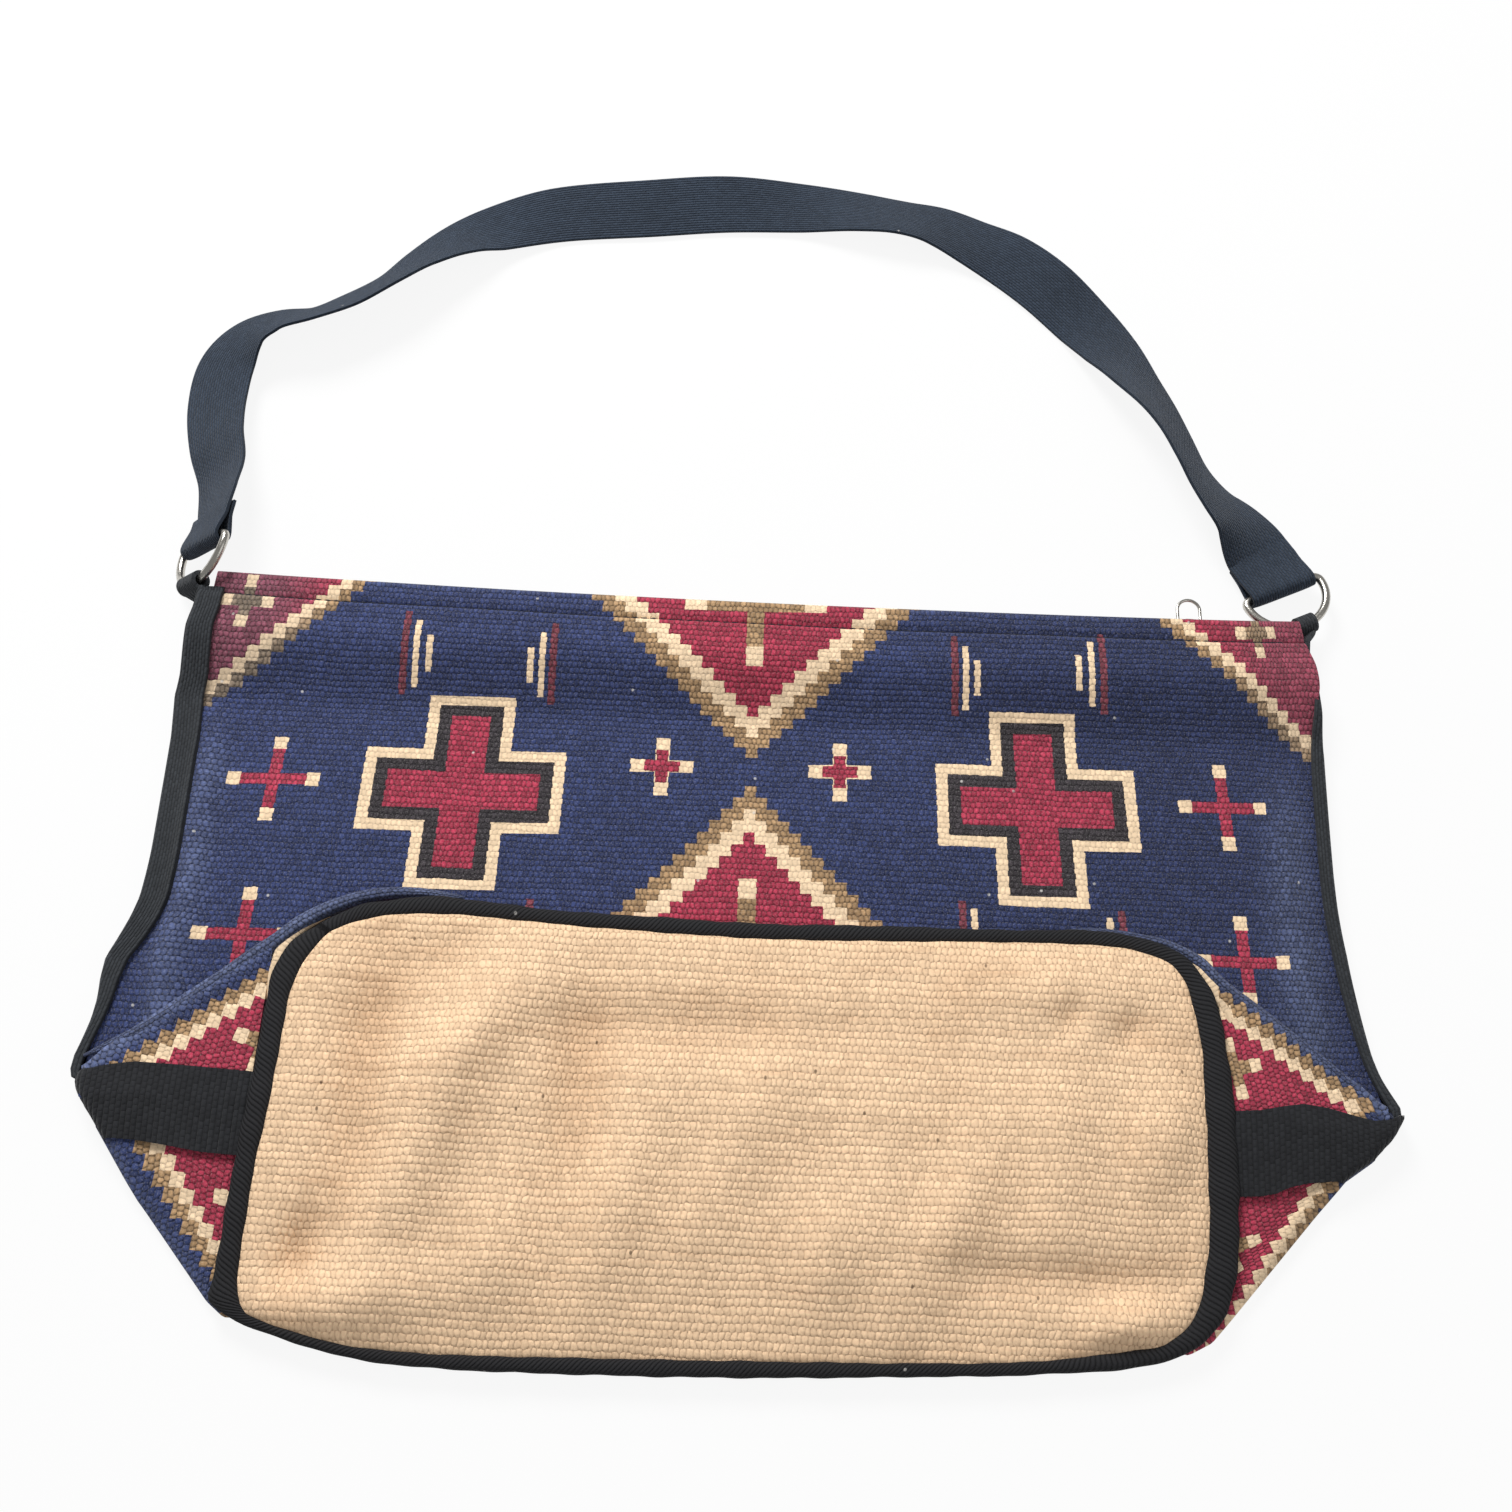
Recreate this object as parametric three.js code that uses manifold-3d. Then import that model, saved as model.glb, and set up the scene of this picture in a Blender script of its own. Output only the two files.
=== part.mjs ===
// Shoulder bag lying empty on its back, with its base folded up over the front as on a paper bag.
// Millimetres. The table is z = 0, +Y runs from the base to the mouth and the strap, +X to the right.
import * as THREE from "three";
import { mergeVertices } from "three/addons/utils/BufferGeometryUtils.js";
import Module from "manifold-3d";

const wasm = await Module();
wasm.setup();

// Driving dimensions of the cloth and the webbing
const CLOTH = 2.0;
const WEBBING = 1.8;
const WEBBING_WIDTH = 30;
const SEAM_GAP = 0.3;
const SLACK = 3.0;
const TUCK = 0.1;
const SEAM_LAP = 7;

// Driving dimensions of the body's outline
const MOUTH_Y = 150;
const MOUTH_HALF = 240;
const WAIST_Y = 30;
const WAIST_HALF = 237.5;
const TIP_Y = -59;
const TIP_HALF = 252;
const LAY_SKEW = 0.04;
const MOUTH_INSET = 4;
const TIP_INSET = 15;

// Driving dimensions of the mouth
const HEM_DEPTH = 22;
const HEM_DROP = 36;

// Driving dimensions of the base
const BASE_FRONT_Y = 8;
const BASE_DEPTH = 164;
const BASE_HALF = 182;
const BASE_CORNER = 34;
const BASE_CROWN = 2.2;
const FRONT_CORNER_DROP = 13;
const BACK_CORNER_RISE = 12;
const PANEL_CORNER = 30;
const FLAP_CORNER = 20;
const BINDING_WIDTH = 7.5;
const BINDING_HEIGHT = 6.5;
// Soft folds across the base: x at the middle, lean, half width and height
const BASE_FOLDS = [
  [-136, 0.22, 24, 1.4],
  [-104, 0.22, 17, -1.6],
  [-38, 0.12, 34, 1.0],
  [8, 0.1, 20, -1.1],
  [62, 0.05, 24, 1.1],
  [88, 0.02, 13, -1.2],
  [150, 0, 22, 1.3],
];

// Driving dimensions of the side webbing
const SHOWN_LEFT = 12;
const SHOWN_RIGHT = 6;
const SHOWN_AT_TIP = 12;
const UNDER_FLANGE = 9;
const WRAP_BEND = 2.6;
const WRAP_PLAY = 1;
const WRAP_TOP_DROP = 9;
const BAND_RISE = 2;
const BAND_BEND = 9;
const BAND_END_BEND = 5;
const EAR_SPLIT = 8.4;
const LOOP_WIDTH = 8;
const LOOP_SLACK = 0.6;
const NECK_WIDTH = 6;
const NECK_LAP = 6;

// Driving dimensions of the rings
const RING_WIRE = 3.6;
const RING_PLAY = 2;
const RING_DEPTH = 16.4;
const RING_CORNER = 3;
const LEFT_EYE_OUT = 0.4;
const LEFT_EYE_UP = -6;
const LEFT_RING_HEADING = 265.4;
const LEFT_RING_RISE = 0;
const LEFT_RING_TILT = 44;
const LEFT_RING_CLEAR = 1.2;
const RIGHT_EYE_OUT = -8.5;
const RIGHT_EYE_UP = 2.6;
const RIGHT_RING_HEADING = 294.3;
const RIGHT_RING_RISE = 5.7;
const RIGHT_RING_TILT = -2;

// Driving dimensions of the zip
const TAPE = 0.7;
const ZIP_INSET = 18;
const TOOTH_PITCH = 9;
const TOOTH_WIDTH = 2.4;
const TOOTH_LENGTH = 3.4;
const TOOTH_SPINE = 1.0;
const TOOTH_OVERLAP = 2.8;
const CHAIN_THICK = 2.4;
const CHAIN_RECESS = 4;
const SLIDER_INSET = 58;
const SLIDER_LENGTH = 12;
const SLIDER_WALL = 1.0;
const SLIDER_CROWN = 0.5;
const LUG_RISE = 0.8;
const LUG_WIDTH = 3.2;
const LUG_WALL = 0.9;
const PULL_WIRE = 1.4;
const PULL_WIDTH = 11;
const PULL_LENGTH = 11;

// The strap's route over the table, from the left ring to the right: x, y above the mouth, tilt in degrees.
// A positive tilt lifts the inner selvedge, and the lower selvedge lies on the table.
const STRAP_ROUTE = [
  [-240, 53, 35],
  [-246, 71, 26],
  [-250, 93, 17],
  [-249, 114, 16],
  [-241, 128, 27],
  [-229, 135, 35],
  [-213, 139, 42],
  [-197, 148, 40],
  [-180, 161, 41],
  [-167, 175, 33],
  [-153, 188, 22],
  [-137, 199, 8],
  [-109, 210, -5],
  [-63, 216, -10],
  [-25, 221, -9],
  [12, 222, 3],
  [42, 218, 16],
  [60, 215, 20],
  [76, 212, 14],
  [93, 205, 6],
  [110, 195, -6],
  [127, 180, -8],
  [145, 161, 0],
  [156, 144, 11],
  [165, 127, 26],
  [174, 111, 37],
  [181, 96, 44],
  [187, 81, 46],
  [192, 71, 42],
  [199, 60, 34],
  [207, 51, 20],
];
const ROUTE_HALF = 240;
const STRAP_STEPS = 60;
const STRAP_LIFT = 0.5;
const TAIL = 17;
const TAIL_STITCH = 11;
const LOOP_THROAT = 4;
const STRAP_STRAIGHT = 20;

// Sizes that follow from the driving dimensions
const RING_WIDTH = WEBBING_WIDTH + RING_PLAY;
const ZIP_HALF = MOUTH_HALF - ZIP_INSET;
const SLIDER_X = MOUTH_HALF - SLIDER_INSET;
const CHAIN_HALF = TOOTH_LENGTH - TOOTH_OVERLAP / 2 + TOOTH_SPINE;
const SLIDER_HALF = CHAIN_HALF + SEAM_GAP + SLIDER_WALL;
const LOOP_RADIUS = RING_WIRE / 2 + LOOP_SLACK;
const HEM_GAP = 2 * (SEAM_GAP + Math.max(SLIDER_HALF, LOOP_RADIUS + WEBBING));

// Levels of the mid-plane of each layer of cloth
const LAYER = CLOTH + SEAM_GAP;
const BACK_Z = CLOTH / 2;
const BACK_HEM_Z = BACK_Z + LAYER;
const FRONT_HEM_Z = BACK_HEM_Z + CLOTH + HEM_GAP;
const FRONT_LIP_Z = FRONT_HEM_Z + LAYER;
const MOUTH_Z = (BACK_HEM_Z + FRONT_HEM_Z) / 2;
const FRONT_Z = BACK_Z + CLOTH + SLACK;
const FLAP_Z = FRONT_Z + LAYER;
const EAR_Z = FLAP_Z + LAYER;
const BINDING_FRONT_Z = FLAP_Z + CLOTH / 2 + SEAM_GAP + BINDING_HEIGHT / 2;
const BINDING_BACK_Z = CLOTH + SEAM_GAP + BINDING_HEIGHT / 2;

// Places that follow from the driving dimensions
const UNDERLAY = WEBBING + SEAM_GAP;
const FOLD_RADIUS = LAYER / 2;
const BASE_BACK_Y = BASE_FRONT_Y - BASE_DEPTH;
const HEM_END_Y = MOUTH_Y - HEM_DEPTH;
const DROP_END_Y = HEM_END_Y - HEM_DROP;
const WRAP_TOP_Y = MOUTH_Y - WRAP_TOP_DROP;
const WRAP_WALL = WEBBING + SEAM_GAP + WRAP_PLAY;
const BAND_TOP_Y = TIP_Y + BAND_RISE;
const BAND_END_Y = BAND_TOP_Y - WEBBING_WIDTH;
const EAR_SPLIT_Y = BAND_TOP_Y - EAR_SPLIT;
const EAR_INNER_X = BASE_HALF + SEAM_GAP;
const FRONT_CORNER_Y = BASE_FRONT_Y - FRONT_CORNER_DROP;
const BACK_CORNER_Y = BASE_BACK_Y + BACK_CORNER_RISE;
const FRONT_FOLD_SLOPE = (TIP_HALF - EAR_INNER_X - CLOTH) / (FRONT_CORNER_Y - TIP_Y);
const BACK_FOLD_SLOPE = (TIP_HALF - EAR_INNER_X) / (TIP_Y - BACK_CORNER_Y);
const EAR_OUTER_X = TIP_HALF - BACK_FOLD_SLOPE * (TIP_Y - BAND_END_Y) - SEAM_LAP;
const UNDERLAY_TOP_Y = HEM_END_Y - 2 * SEAM_LAP;
const UNDERLAY_END_Y = BAND_END_Y - 2 * SEAM_LAP;

// Small helpers
const radians = THREE.MathUtils.degToRad;
const mix = THREE.MathUtils.lerp;
const point = (x, y, z) => new THREE.Vector3(x, y, z);

function part(from, to, value) {
  return THREE.MathUtils.clamp((value - from) / (to - from), 0, 1);
}

function ease(from, to, value) {
  const t = part(from, to, value);
  return t * t * (3 - 2 * t);
}

function steps(count, from = 0, to = 1) {
  return Array.from({ length: count + 1 }, (_, i) => mix(from, to, i / count));
}

// A closed body through rings of points: the first half of a ring runs out, the second half runs back
function loft(rings, closed = false) {
  const count = rings[0].length;
  const index = [];
  const bands = closed ? rings.length : rings.length - 1;
  for (let i = 0; i < bands; i++) {
    const a = i * count;
    const b = ((i + 1) % rings.length) * count;
    for (let k = 0; k < count; k++) {
      const n = (k + 1) % count;
      index.push(a + k, a + n, b + n, a + k, b + n, b + k);
    }
  }
  if (!closed) {
    const end = bands * count;
    for (let k = 0; k < count / 2 - 1; k++) {
      const far = count - 1 - k;
      index.push(k, far, k + 1, k + 1, far, far - 1);
      index.push(end + k, end + k + 1, end + far, end + k + 1, end + far - 1, end + far);
    }
  }
  const geometry = new THREE.BufferGeometry();
  const position = rings.flat().flatMap((p) => [p.x, p.y, p.z]);
  geometry.setAttribute("position", new THREE.Float32BufferAttribute(position, 3));
  geometry.setIndex(volume(rings.flat(), index) < 0 ? index.reverse() : index);
  return geometry;
}

function volume(points, index) {
  let six = 0;
  for (let i = 0; i < index.length; i += 3) {
    const [a, b, c] = [points[index[i]], points[index[i + 1]], points[index[i + 2]]];
    six += a.dot(b.clone().cross(c));
  }
  return six / 6;
}

// The direction of a row or column of points at one of them, from its two neighbours
function heading(before, here, after) {
  const onward = after.clone().sub(here).normalize();
  return onward.add(here.clone().sub(before).normalize());
}

// A sheet of even thickness about a grid of points
function thickSheet(rows, thickness) {
  const half = thickness / 2;
  const rings = rows.map((row, i) => {
    const upper = [];
    const lower = [];
    row.forEach((p, j) => {
      const along = heading(rows[Math.max(i - 1, 0)][j], p, rows[Math.min(i + 1, rows.length - 1)][j]);
      const across = heading(row[Math.max(j - 1, 0)], p, row[Math.min(j + 1, row.length - 1)]);
      const normal = along.cross(across).normalize();
      upper.push(p.clone().addScaledVector(normal, half));
      lower.unshift(p.clone().addScaledVector(normal, -half));
    });
    return [...upper, ...lower];
  });
  return loft(rings);
}

// A closed loop of round wire in a plane: the path's points and the plane's normal
function wireLoop(path, planeNormal, radius, sides = 8) {
  const rings = path.map((p, i) => {
    const before = path[(i + path.length - 1) % path.length];
    const after = path[(i + 1) % path.length];
    const outward = heading(before, p, after).normalize().cross(planeNormal);
    return steps(sides, 0, 2 * Math.PI).slice(0, sides).map((angle) => {
      const rim = p.clone().addScaledVector(outward, radius * Math.cos(angle));
      return rim.addScaledVector(planeNormal, radius * Math.sin(angle));
    });
  });
  return loft(rings, true);
}

// An outline drawn across the bag, in y and z, carried along x about a middle point
function extrudeAlongX(shape, middleX, length, curveSegments = 8) {
  const geometry = new THREE.ExtrudeGeometry(shape, { depth: length, bevelEnabled: false, curveSegments });
  const turn = new THREE.Matrix4().makeBasis(point(0, 1, 0), point(0, 0, 1), point(1, 0, 0));
  return geometry.applyMatrix4(turn).translate(middleX - length / 2, 0, 0);
}

function toSolid(geometry) {
  const bare = geometry.clone();
  bare.deleteAttribute("normal");
  bare.deleteAttribute("uv");
  const merged = mergeVertices(bare, 1e-4);
  const vertProperties = new Float32Array(merged.attributes.position.array);
  const triVerts = new Uint32Array(merged.index.array);
  return new wasm.Manifold(new wasm.Mesh({ numProp: 3, vertProperties, triVerts }));
}

function joined(geometries) {
  const [first, ...rest] = geometries.map(toSolid);
  const mesh = rest.reduce((sum, solid) => sum.add(solid), first).getMesh();
  const geometry = new THREE.BufferGeometry();
  geometry.setAttribute("position", new THREE.BufferAttribute(mesh.vertProperties, 3));
  geometry.setIndex(new THREE.BufferAttribute(mesh.triVerts, 1));
  return geometry;
}

// The folded base lies a little askew: y shifts with x, more and more towards the base's back edge
function laidAskew(geometry) {
  const place = geometry.attributes.position;
  for (let i = 0; i < place.count; i++) {
    const share = part(BASE_FRONT_Y, BASE_BACK_Y, place.getY(i));
    place.setY(i, place.getY(i) + LAY_SKEW * place.getX(i) * share);
  }
  return geometry;
}

// Outlines in plan: half widths at a given y
function sideHalf(y) {
  const flare = (MOUTH_HALF - WAIST_HALF) * part(WAIST_Y, MOUTH_Y, y) ** 2;
  const tip = (TIP_HALF - WAIST_HALF) * part(WAIST_Y, TIP_Y, y) ** 1.7;
  return WAIST_HALF + flare + tip - BACK_FOLD_SLOPE * Math.max(TIP_Y - y, 0);
}

function panelInset(y) {
  const atMouth = MOUTH_INSET * ease(HEM_END_Y - HEM_DEPTH / 2, WRAP_TOP_Y, y);
  const atTip = (TIP_INSET - WRAP_WALL) * ease(TIP_Y + 20, TIP_Y + 4, y);
  return WRAP_WALL + atMouth + atTip;
}

function frontHalf(y) {
  return sideHalf(y) - panelInset(y);
}

function foldHalf(y) {
  const slanted = EAR_INNER_X + FRONT_FOLD_SLOPE * (FRONT_CORNER_Y - y);
  const rounded = EAR_INNER_X - FLAP_CORNER * part(FRONT_CORNER_Y, BASE_FRONT_Y, y) ** 2;
  return Math.min(y < FRONT_CORNER_Y ? slanted : rounded, TIP_HALF - TIP_INSET);
}

function backHalf(y) {
  if (y > TIP_Y) {
    return frontHalf(y);
  }
  const room = mix(panelInset(TIP_Y), CLOTH + FOLD_RADIUS, part(TIP_Y, BAND_END_Y - SEAM_LAP, y));
  const corner = PANEL_CORNER * part(BACK_CORNER_Y, BASE_BACK_Y, y) ** 2;
  return sideHalf(y) - room - corner;
}

// The lower folds' place at a given half width
function backFoldY(x) {
  return TIP_Y - (TIP_HALF - CLOTH - FOLD_RADIUS - x) / BACK_FOLD_SLOPE;
}

// Heights of the layers
function frontZ(y) {
  return mix(FRONT_Z, FRONT_LIP_Z, ease(DROP_END_Y, HEM_END_Y, y));
}

function backZ(x, y) {
  const nearEdge = ease(4 * UNDER_FLANGE, 2 * UNDER_FLANGE, sideHalf(y) - Math.abs(x));
  const alongSide = ease(HEM_END_Y, UNDERLAY_TOP_Y, y) * ease(UNDERLAY_END_Y, BAND_END_Y, y);
  return BACK_Z + UNDERLAY * nearEdge * alongSide;
}

function earZ(x, y) {
  const fold = backFoldY(Math.abs(x));
  return mix(EAR_Z, backZ(x, fold) + LAYER, part(EAR_SPLIT_Y, fold, y));
}

function bindingZ(y) {
  return mix(BINDING_FRONT_Z, BINDING_BACK_Z, part(EAR_SPLIT_Y, BASE_BACK_Y + BINDING_WIDTH, y));
}

function baseHalf(y) {
  const inset = Math.min(BASE_FRONT_Y - y, y - BASE_BACK_Y) - BINDING_WIDTH - SEAM_GAP;
  const radius = BASE_CORNER - BINDING_WIDTH;
  const drop = Math.max(radius - inset, 0);
  const bulge = Math.sqrt(Math.max(radius ** 2 - drop ** 2, 0));
  return BASE_HALF - BINDING_WIDTH - SEAM_GAP - radius + bulge;
}

// Half a turn of cloth in y and z, from one layer over to the next: angles in degrees about the middle
function foldArc(middleY, middleZ, from, to) {
  return steps(5, from, to).map((angle) => {
    const turn = radians(angle);
    return [middleY + FOLD_RADIUS * Math.cos(turn), middleZ + FOLD_RADIUS * Math.sin(turn)];
  });
}

function hemLine(innerZ, outerZ) {
  const foldY = MOUTH_Y - CLOTH / 2 - FOLD_RADIUS;
  const turn = foldArc(foldY, (innerZ + outerZ) / 2, innerZ < outerZ ? -90 : 90, innerZ < outerZ ? 90 : -90);
  const halfway = mix(HEM_END_Y, foldY, 0.5);
  return [[HEM_END_Y, innerZ], [halfway, innerZ], ...turn, [halfway, outerZ]];
}

// Lines that the panels' grids share: across, as shares of the half width, and down the slope below the hem
const DROP_LINES = steps(5, HEM_END_Y, DROP_END_Y);
const BODY_LINES = [0.21, 0.41, 0.61, 0.75, 0.85, 0.91, 0.96].map((t) => mix(DROP_END_Y, TIP_Y, t));
const ACROSS = [-1, -0.95, -0.885, -0.82, -0.45, 0, 0.45, 0.82, 0.885, 0.95, 1];

// Front panel: hem, main face, crease under the base, the layer that comes back up, and the upper gussets
function frontPanel() {
  const hem = hemLine(FRONT_HEM_Z, FRONT_LIP_Z);
  const drop = DROP_LINES.map((y) => [y, frontZ(y)]);
  const creaseY = TIP_Y + FOLD_RADIUS;
  const main = BODY_LINES.map((y) => [y, FRONT_Z]);
  const crease = foldArc(creaseY, (FRONT_Z + FLAP_Z) / 2, 270, 90);
  const flap = steps(7, creaseY + SEAM_LAP, BASE_FRONT_Y - SEAM_GAP).map((y) => [y, FLAP_Z]);
  const faceUp = [...hem, ...drop, ...main];
  const rows = ACROSS.map((share) => [
    ...faceUp.map(([y, z]) => point(share * frontHalf(y), y, z)),
    ...crease.map(([y, z]) => point(share * frontHalf(TIP_Y), y, z)),
    ...flap.map(([y, z]) => point(share * Math.min(foldHalf(y), frontHalf(TIP_Y)), y, z)),
  ]);
  const ears = [-1, 1].map((side) => upperEar(side));
  return laidAskew(joined([thickSheet(rows, CLOTH), ...ears]));
}

// Upper half of a gusset: it turns over the slanting fold and runs down under the webbing band
function upperEar(side) {
  const rows = steps(5, EAR_INNER_X, frontHalf(TIP_Y) - WRAP_WALL).map((x) => {
    const foldY = FRONT_CORNER_Y - (x - EAR_INNER_X) / FRONT_FOLD_SLOPE;
    const turn = foldArc(foldY - FOLD_RADIUS, (FLAP_Z + EAR_Z) / 2 + TUCK, -90, 90);
    const top = steps(3, foldY - SEAM_LAP, EAR_SPLIT_Y + SEAM_GAP).map((y) => [y, EAR_Z]);
    return [[foldY - SEAM_LAP, FLAP_Z + TUCK], ...turn, ...top].map(([y, z]) => point(side * x, y, z));
  });
  return thickSheet(rows, CLOTH);
}

// Back panel: hem, the face that lies on the table, and the lower gussets
function backPanel() {
  const hem = hemLine(BACK_HEM_Z, BACK_Z);
  const upper = [UNDERLAY_TOP_Y, DROP_END_Y, ...steps(5, BODY_LINES[0], TIP_Y)];
  const middle = [mix(TIP_Y, BAND_END_Y, 0.5), BAND_END_Y, ...steps(3, UNDERLAY_END_Y, BACK_CORNER_Y)];
  const end = BASE_BACK_Y + BINDING_WIDTH / 2;
  const flat = [...upper, ...middle, mix(BACK_CORNER_Y, end, 0.5), end];
  const rows = ACROSS.map((share) => [
    ...hem.map(([y, z]) => point(share * backHalf(y), y, z)),
    ...flat.map((y) => point(share * backHalf(y), y, backZ(share * backHalf(y), y))),
  ]);
  const ears = [-1, 1].map((side) => lowerEar(side));
  return laidAskew(joined([thickSheet(rows, CLOTH), ...ears]));
}

// Lower half of a gusset: from under the webbing band to the slanting fold, and round it to the back panel
function lowerEar(side) {
  const rows = steps(5, EAR_INNER_X, EAR_OUTER_X).map((x) => {
    const foldY = backFoldY(x) + FOLD_RADIUS;
    const low = backZ(x, foldY) + TUCK;
    const top = steps(4, EAR_SPLIT_Y - SEAM_GAP, foldY + FOLD_RADIUS).map((y) => [y, earZ(x, y)]);
    const turn = foldArc(foldY, low + FOLD_RADIUS, 90, 270);
    const lapY = foldY + SEAM_LAP;
    return [...top, ...turn, [lapY, backZ(x, lapY) + TUCK]].map(([y, z]) => point(side * x, y, z));
  });
  return thickSheet(rows, CLOTH);
}

// Base: a crowned rounded rectangle with soft folds, and the binding round its seam
function baseRelief(x, y) {
  const middleY = (BASE_FRONT_Y + BASE_BACK_Y) / 2;
  const across = 1 - (x / BASE_HALF) ** 4;
  const along = 1 - Math.abs((y - middleY) / (BASE_DEPTH / 2)) ** 4;
  const folds = BASE_FOLDS.map(([at, lean, spread, height]) => (
    height * Math.exp(-(((x - at - lean * (y - middleY)) / spread) ** 2))
  ));
  return folds.reduce((sum, height) => sum + height, BASE_CROWN) * across * along;
}

function basePanel() {
  const edge = BINDING_WIDTH + SEAM_GAP;
  const lines = steps(10).map((t) => (1 - Math.cos(Math.PI * t)) / 2);
  const shares = steps(18, -1, 1);
  const rows = lines.map((v) => {
    const y = mix(BASE_BACK_Y + edge, BASE_FRONT_Y - edge, v);
    return shares.map((share) => {
      const x = share * baseHalf(y);
      return point(x, y, bindingZ(y) - CLOTH / 2 + baseRelief(x, y));
    });
  });
  return laidAskew(thickSheet(rows, CLOTH));
}

function baseBinding() {
  const halfX = BASE_HALF - BINDING_WIDTH / 2;
  const halfY = BASE_DEPTH / 2 - BINDING_WIDTH / 2;
  const middleY = (BASE_FRONT_Y + BASE_BACK_Y) / 2;
  const radius = BASE_CORNER - BINDING_WIDTH / 2;
  const corners = [[1, 1, 0], [-1, 1, 90], [-1, -1, 180], [1, -1, 270]];
  const path = corners.flatMap(([sideX, sideY, start]) => {
    const arc = steps(5, start, start + 90).map((angle) => [
      sideX * (halfX - radius) + radius * Math.cos(radians(angle)),
      middleY + sideY * (halfY - radius) + radius * Math.sin(radians(angle)),
      angle,
    ]);
    const [x, y, angle] = arc[arc.length - 1];
    const straight = angle % 180 === 0 ? 2 * (halfY - radius) : 2 * (halfX - radius);
    const onward = [-Math.sin(radians(angle)), Math.cos(radians(angle))];
    const run = steps(5, 0, straight).slice(1, -1).map((t) => [x + onward[0] * t, y + onward[1] * t, angle]);
    return [...arc, ...run];
  });
  const rings = path.map(([x, y, angle]) => steps(8, 0, 2 * Math.PI).slice(0, 8).map((turn) => {
    const out = (BINDING_WIDTH / 2) * Math.cos(turn);
    const up = (BINDING_HEIGHT / 2) * Math.sin(turn);
    return point(x + out * Math.cos(radians(angle)), y + out * Math.sin(radians(angle)), bindingZ(y) + up);
  }));
  return laidAskew(loft(rings, true));
}

// Side webbing: the wrap over the side edge, the band over the gusset, and the loop that holds the ring
function sideWrap(side, shown) {
  const lines = [WRAP_TOP_Y, mix(WRAP_TOP_Y, HEM_END_Y, 0.5), ...DROP_LINES, ...BODY_LINES, TIP_Y - 1];
  const rows = lines.map((y) => {
    const out = sideHalf(y);
    const slope = frontZ(y + 0.5) - frontZ(y - 0.5);
    const top = frontZ(y) + SEAM_GAP + ((CLOTH + WEBBING) / 2) * Math.hypot(1, slope);
    const low = WEBBING / 2;
    const flange = mix(shown, SHOWN_AT_TIP, ease(BODY_LINES[2], BODY_LINES[5], y));
    const under = mix(UNDER_FLANGE, WRAP_BEND, ease(DROP_END_Y, UNDERLAY_TOP_Y, y));
    const wall = WEBBING / 2;
    const line = [
      [flange, top], [mix(flange, WRAP_BEND, 0.5), top], [WRAP_BEND, top],
      [WRAP_BEND / 2, top - WRAP_BEND / 5], [wall, top - WEBBING],
      [wall, (top + low) / 2],
      [wall, low + WEBBING], [WRAP_BEND / 2, low + WRAP_BEND / 5],
      [WRAP_BEND, low], [under + TUCK, low],
    ];
    return line.map(([inset, z]) => point(side * (out - inset), y, z));
  });
  return thickSheet(rows, WEBBING);
}

function gussetBand(side) {
  const rows = steps(6, BAND_TOP_Y, BAND_END_Y).map((y) => {
    const out = sideHalf(y);
    const bend = mix(BAND_BEND, BAND_END_BEND, part(BAND_TOP_Y, BAND_END_Y, y));
    const above = CLOTH / 2 + SEAM_GAP + WEBBING / 2;
    const level = (x) => earZ(Math.min(x, EAR_OUTER_X), y) + above;
    const flat = steps(5, EAR_INNER_X, out - bend).map((x) => [x, level(x)]);
    const top = level(out - bend);
    const low = WEBBING / 2;
    const curl = steps(6, 90, -90).slice(1).map((angle) => {
      const turn = radians(angle);
      const reach = Math.cos(turn) ** 0.7;
      return [out - bend + (bend - WEBBING / 2) * reach, mix(low, top, (Math.sin(turn) + 1) / 2)];
    });
    return [...flat, ...curl, [out - 1.4 * UNDER_FLANGE, low]].map(([x, z]) => point(side * x, y, z));
  });
  return thickSheet(rows, WEBBING);
}

// A ring's own directions: depth runs from bar to loop, along follows the bar, face is the ring's normal
function ringFrame(eye, headingDeg, riseDeg, tiltDeg, side) {
  const flat = point(Math.cos(radians(headingDeg)), Math.sin(radians(headingDeg)), 0);
  const depth = flat.clone().multiplyScalar(Math.cos(radians(riseDeg))).setZ(Math.sin(radians(riseDeg)));
  const level = point(0, 0, 1).cross(flat).multiplyScalar(-side);
  const up = level.clone().cross(depth).multiplyScalar(side);
  const tilt = radians(tiltDeg);
  const along = level.multiplyScalar(Math.cos(tilt)).addScaledVector(up, Math.sin(tilt));
  const reach = RING_DEPTH + RING_WIRE;
  const bar = eye.clone().addScaledVector(depth, -reach);
  return { bar, depth, along, face: along.clone().cross(depth), eye, reach };
}

function dRing(frame) {
  const half = (RING_WIDTH + RING_WIRE) / 2;
  const run = half - RING_CORNER;
  const corner = steps(3, 0, 90).map(radians);
  const right = corner.map((a) => [run + RING_CORNER * Math.sin(a), RING_CORNER * (1 - Math.cos(a))]);
  const bow = steps(12, 0, 180).slice(1, -1).map(radians).map((a) => [
    half * Math.cos(a),
    RING_CORNER + (frame.reach - RING_CORNER) * Math.sin(a),
  ]);
  const left = right.map(([u, v]) => [-u, v]).reverse();
  const outline = [[0, 0], ...right, ...bow, ...left];
  const path = outline.map(([u, v]) => (
    frame.bar.clone().addScaledVector(frame.along, u).addScaledVector(frame.depth, v)
  ));
  return wireLoop(path, frame.face, RING_WIRE / 2);
}

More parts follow.
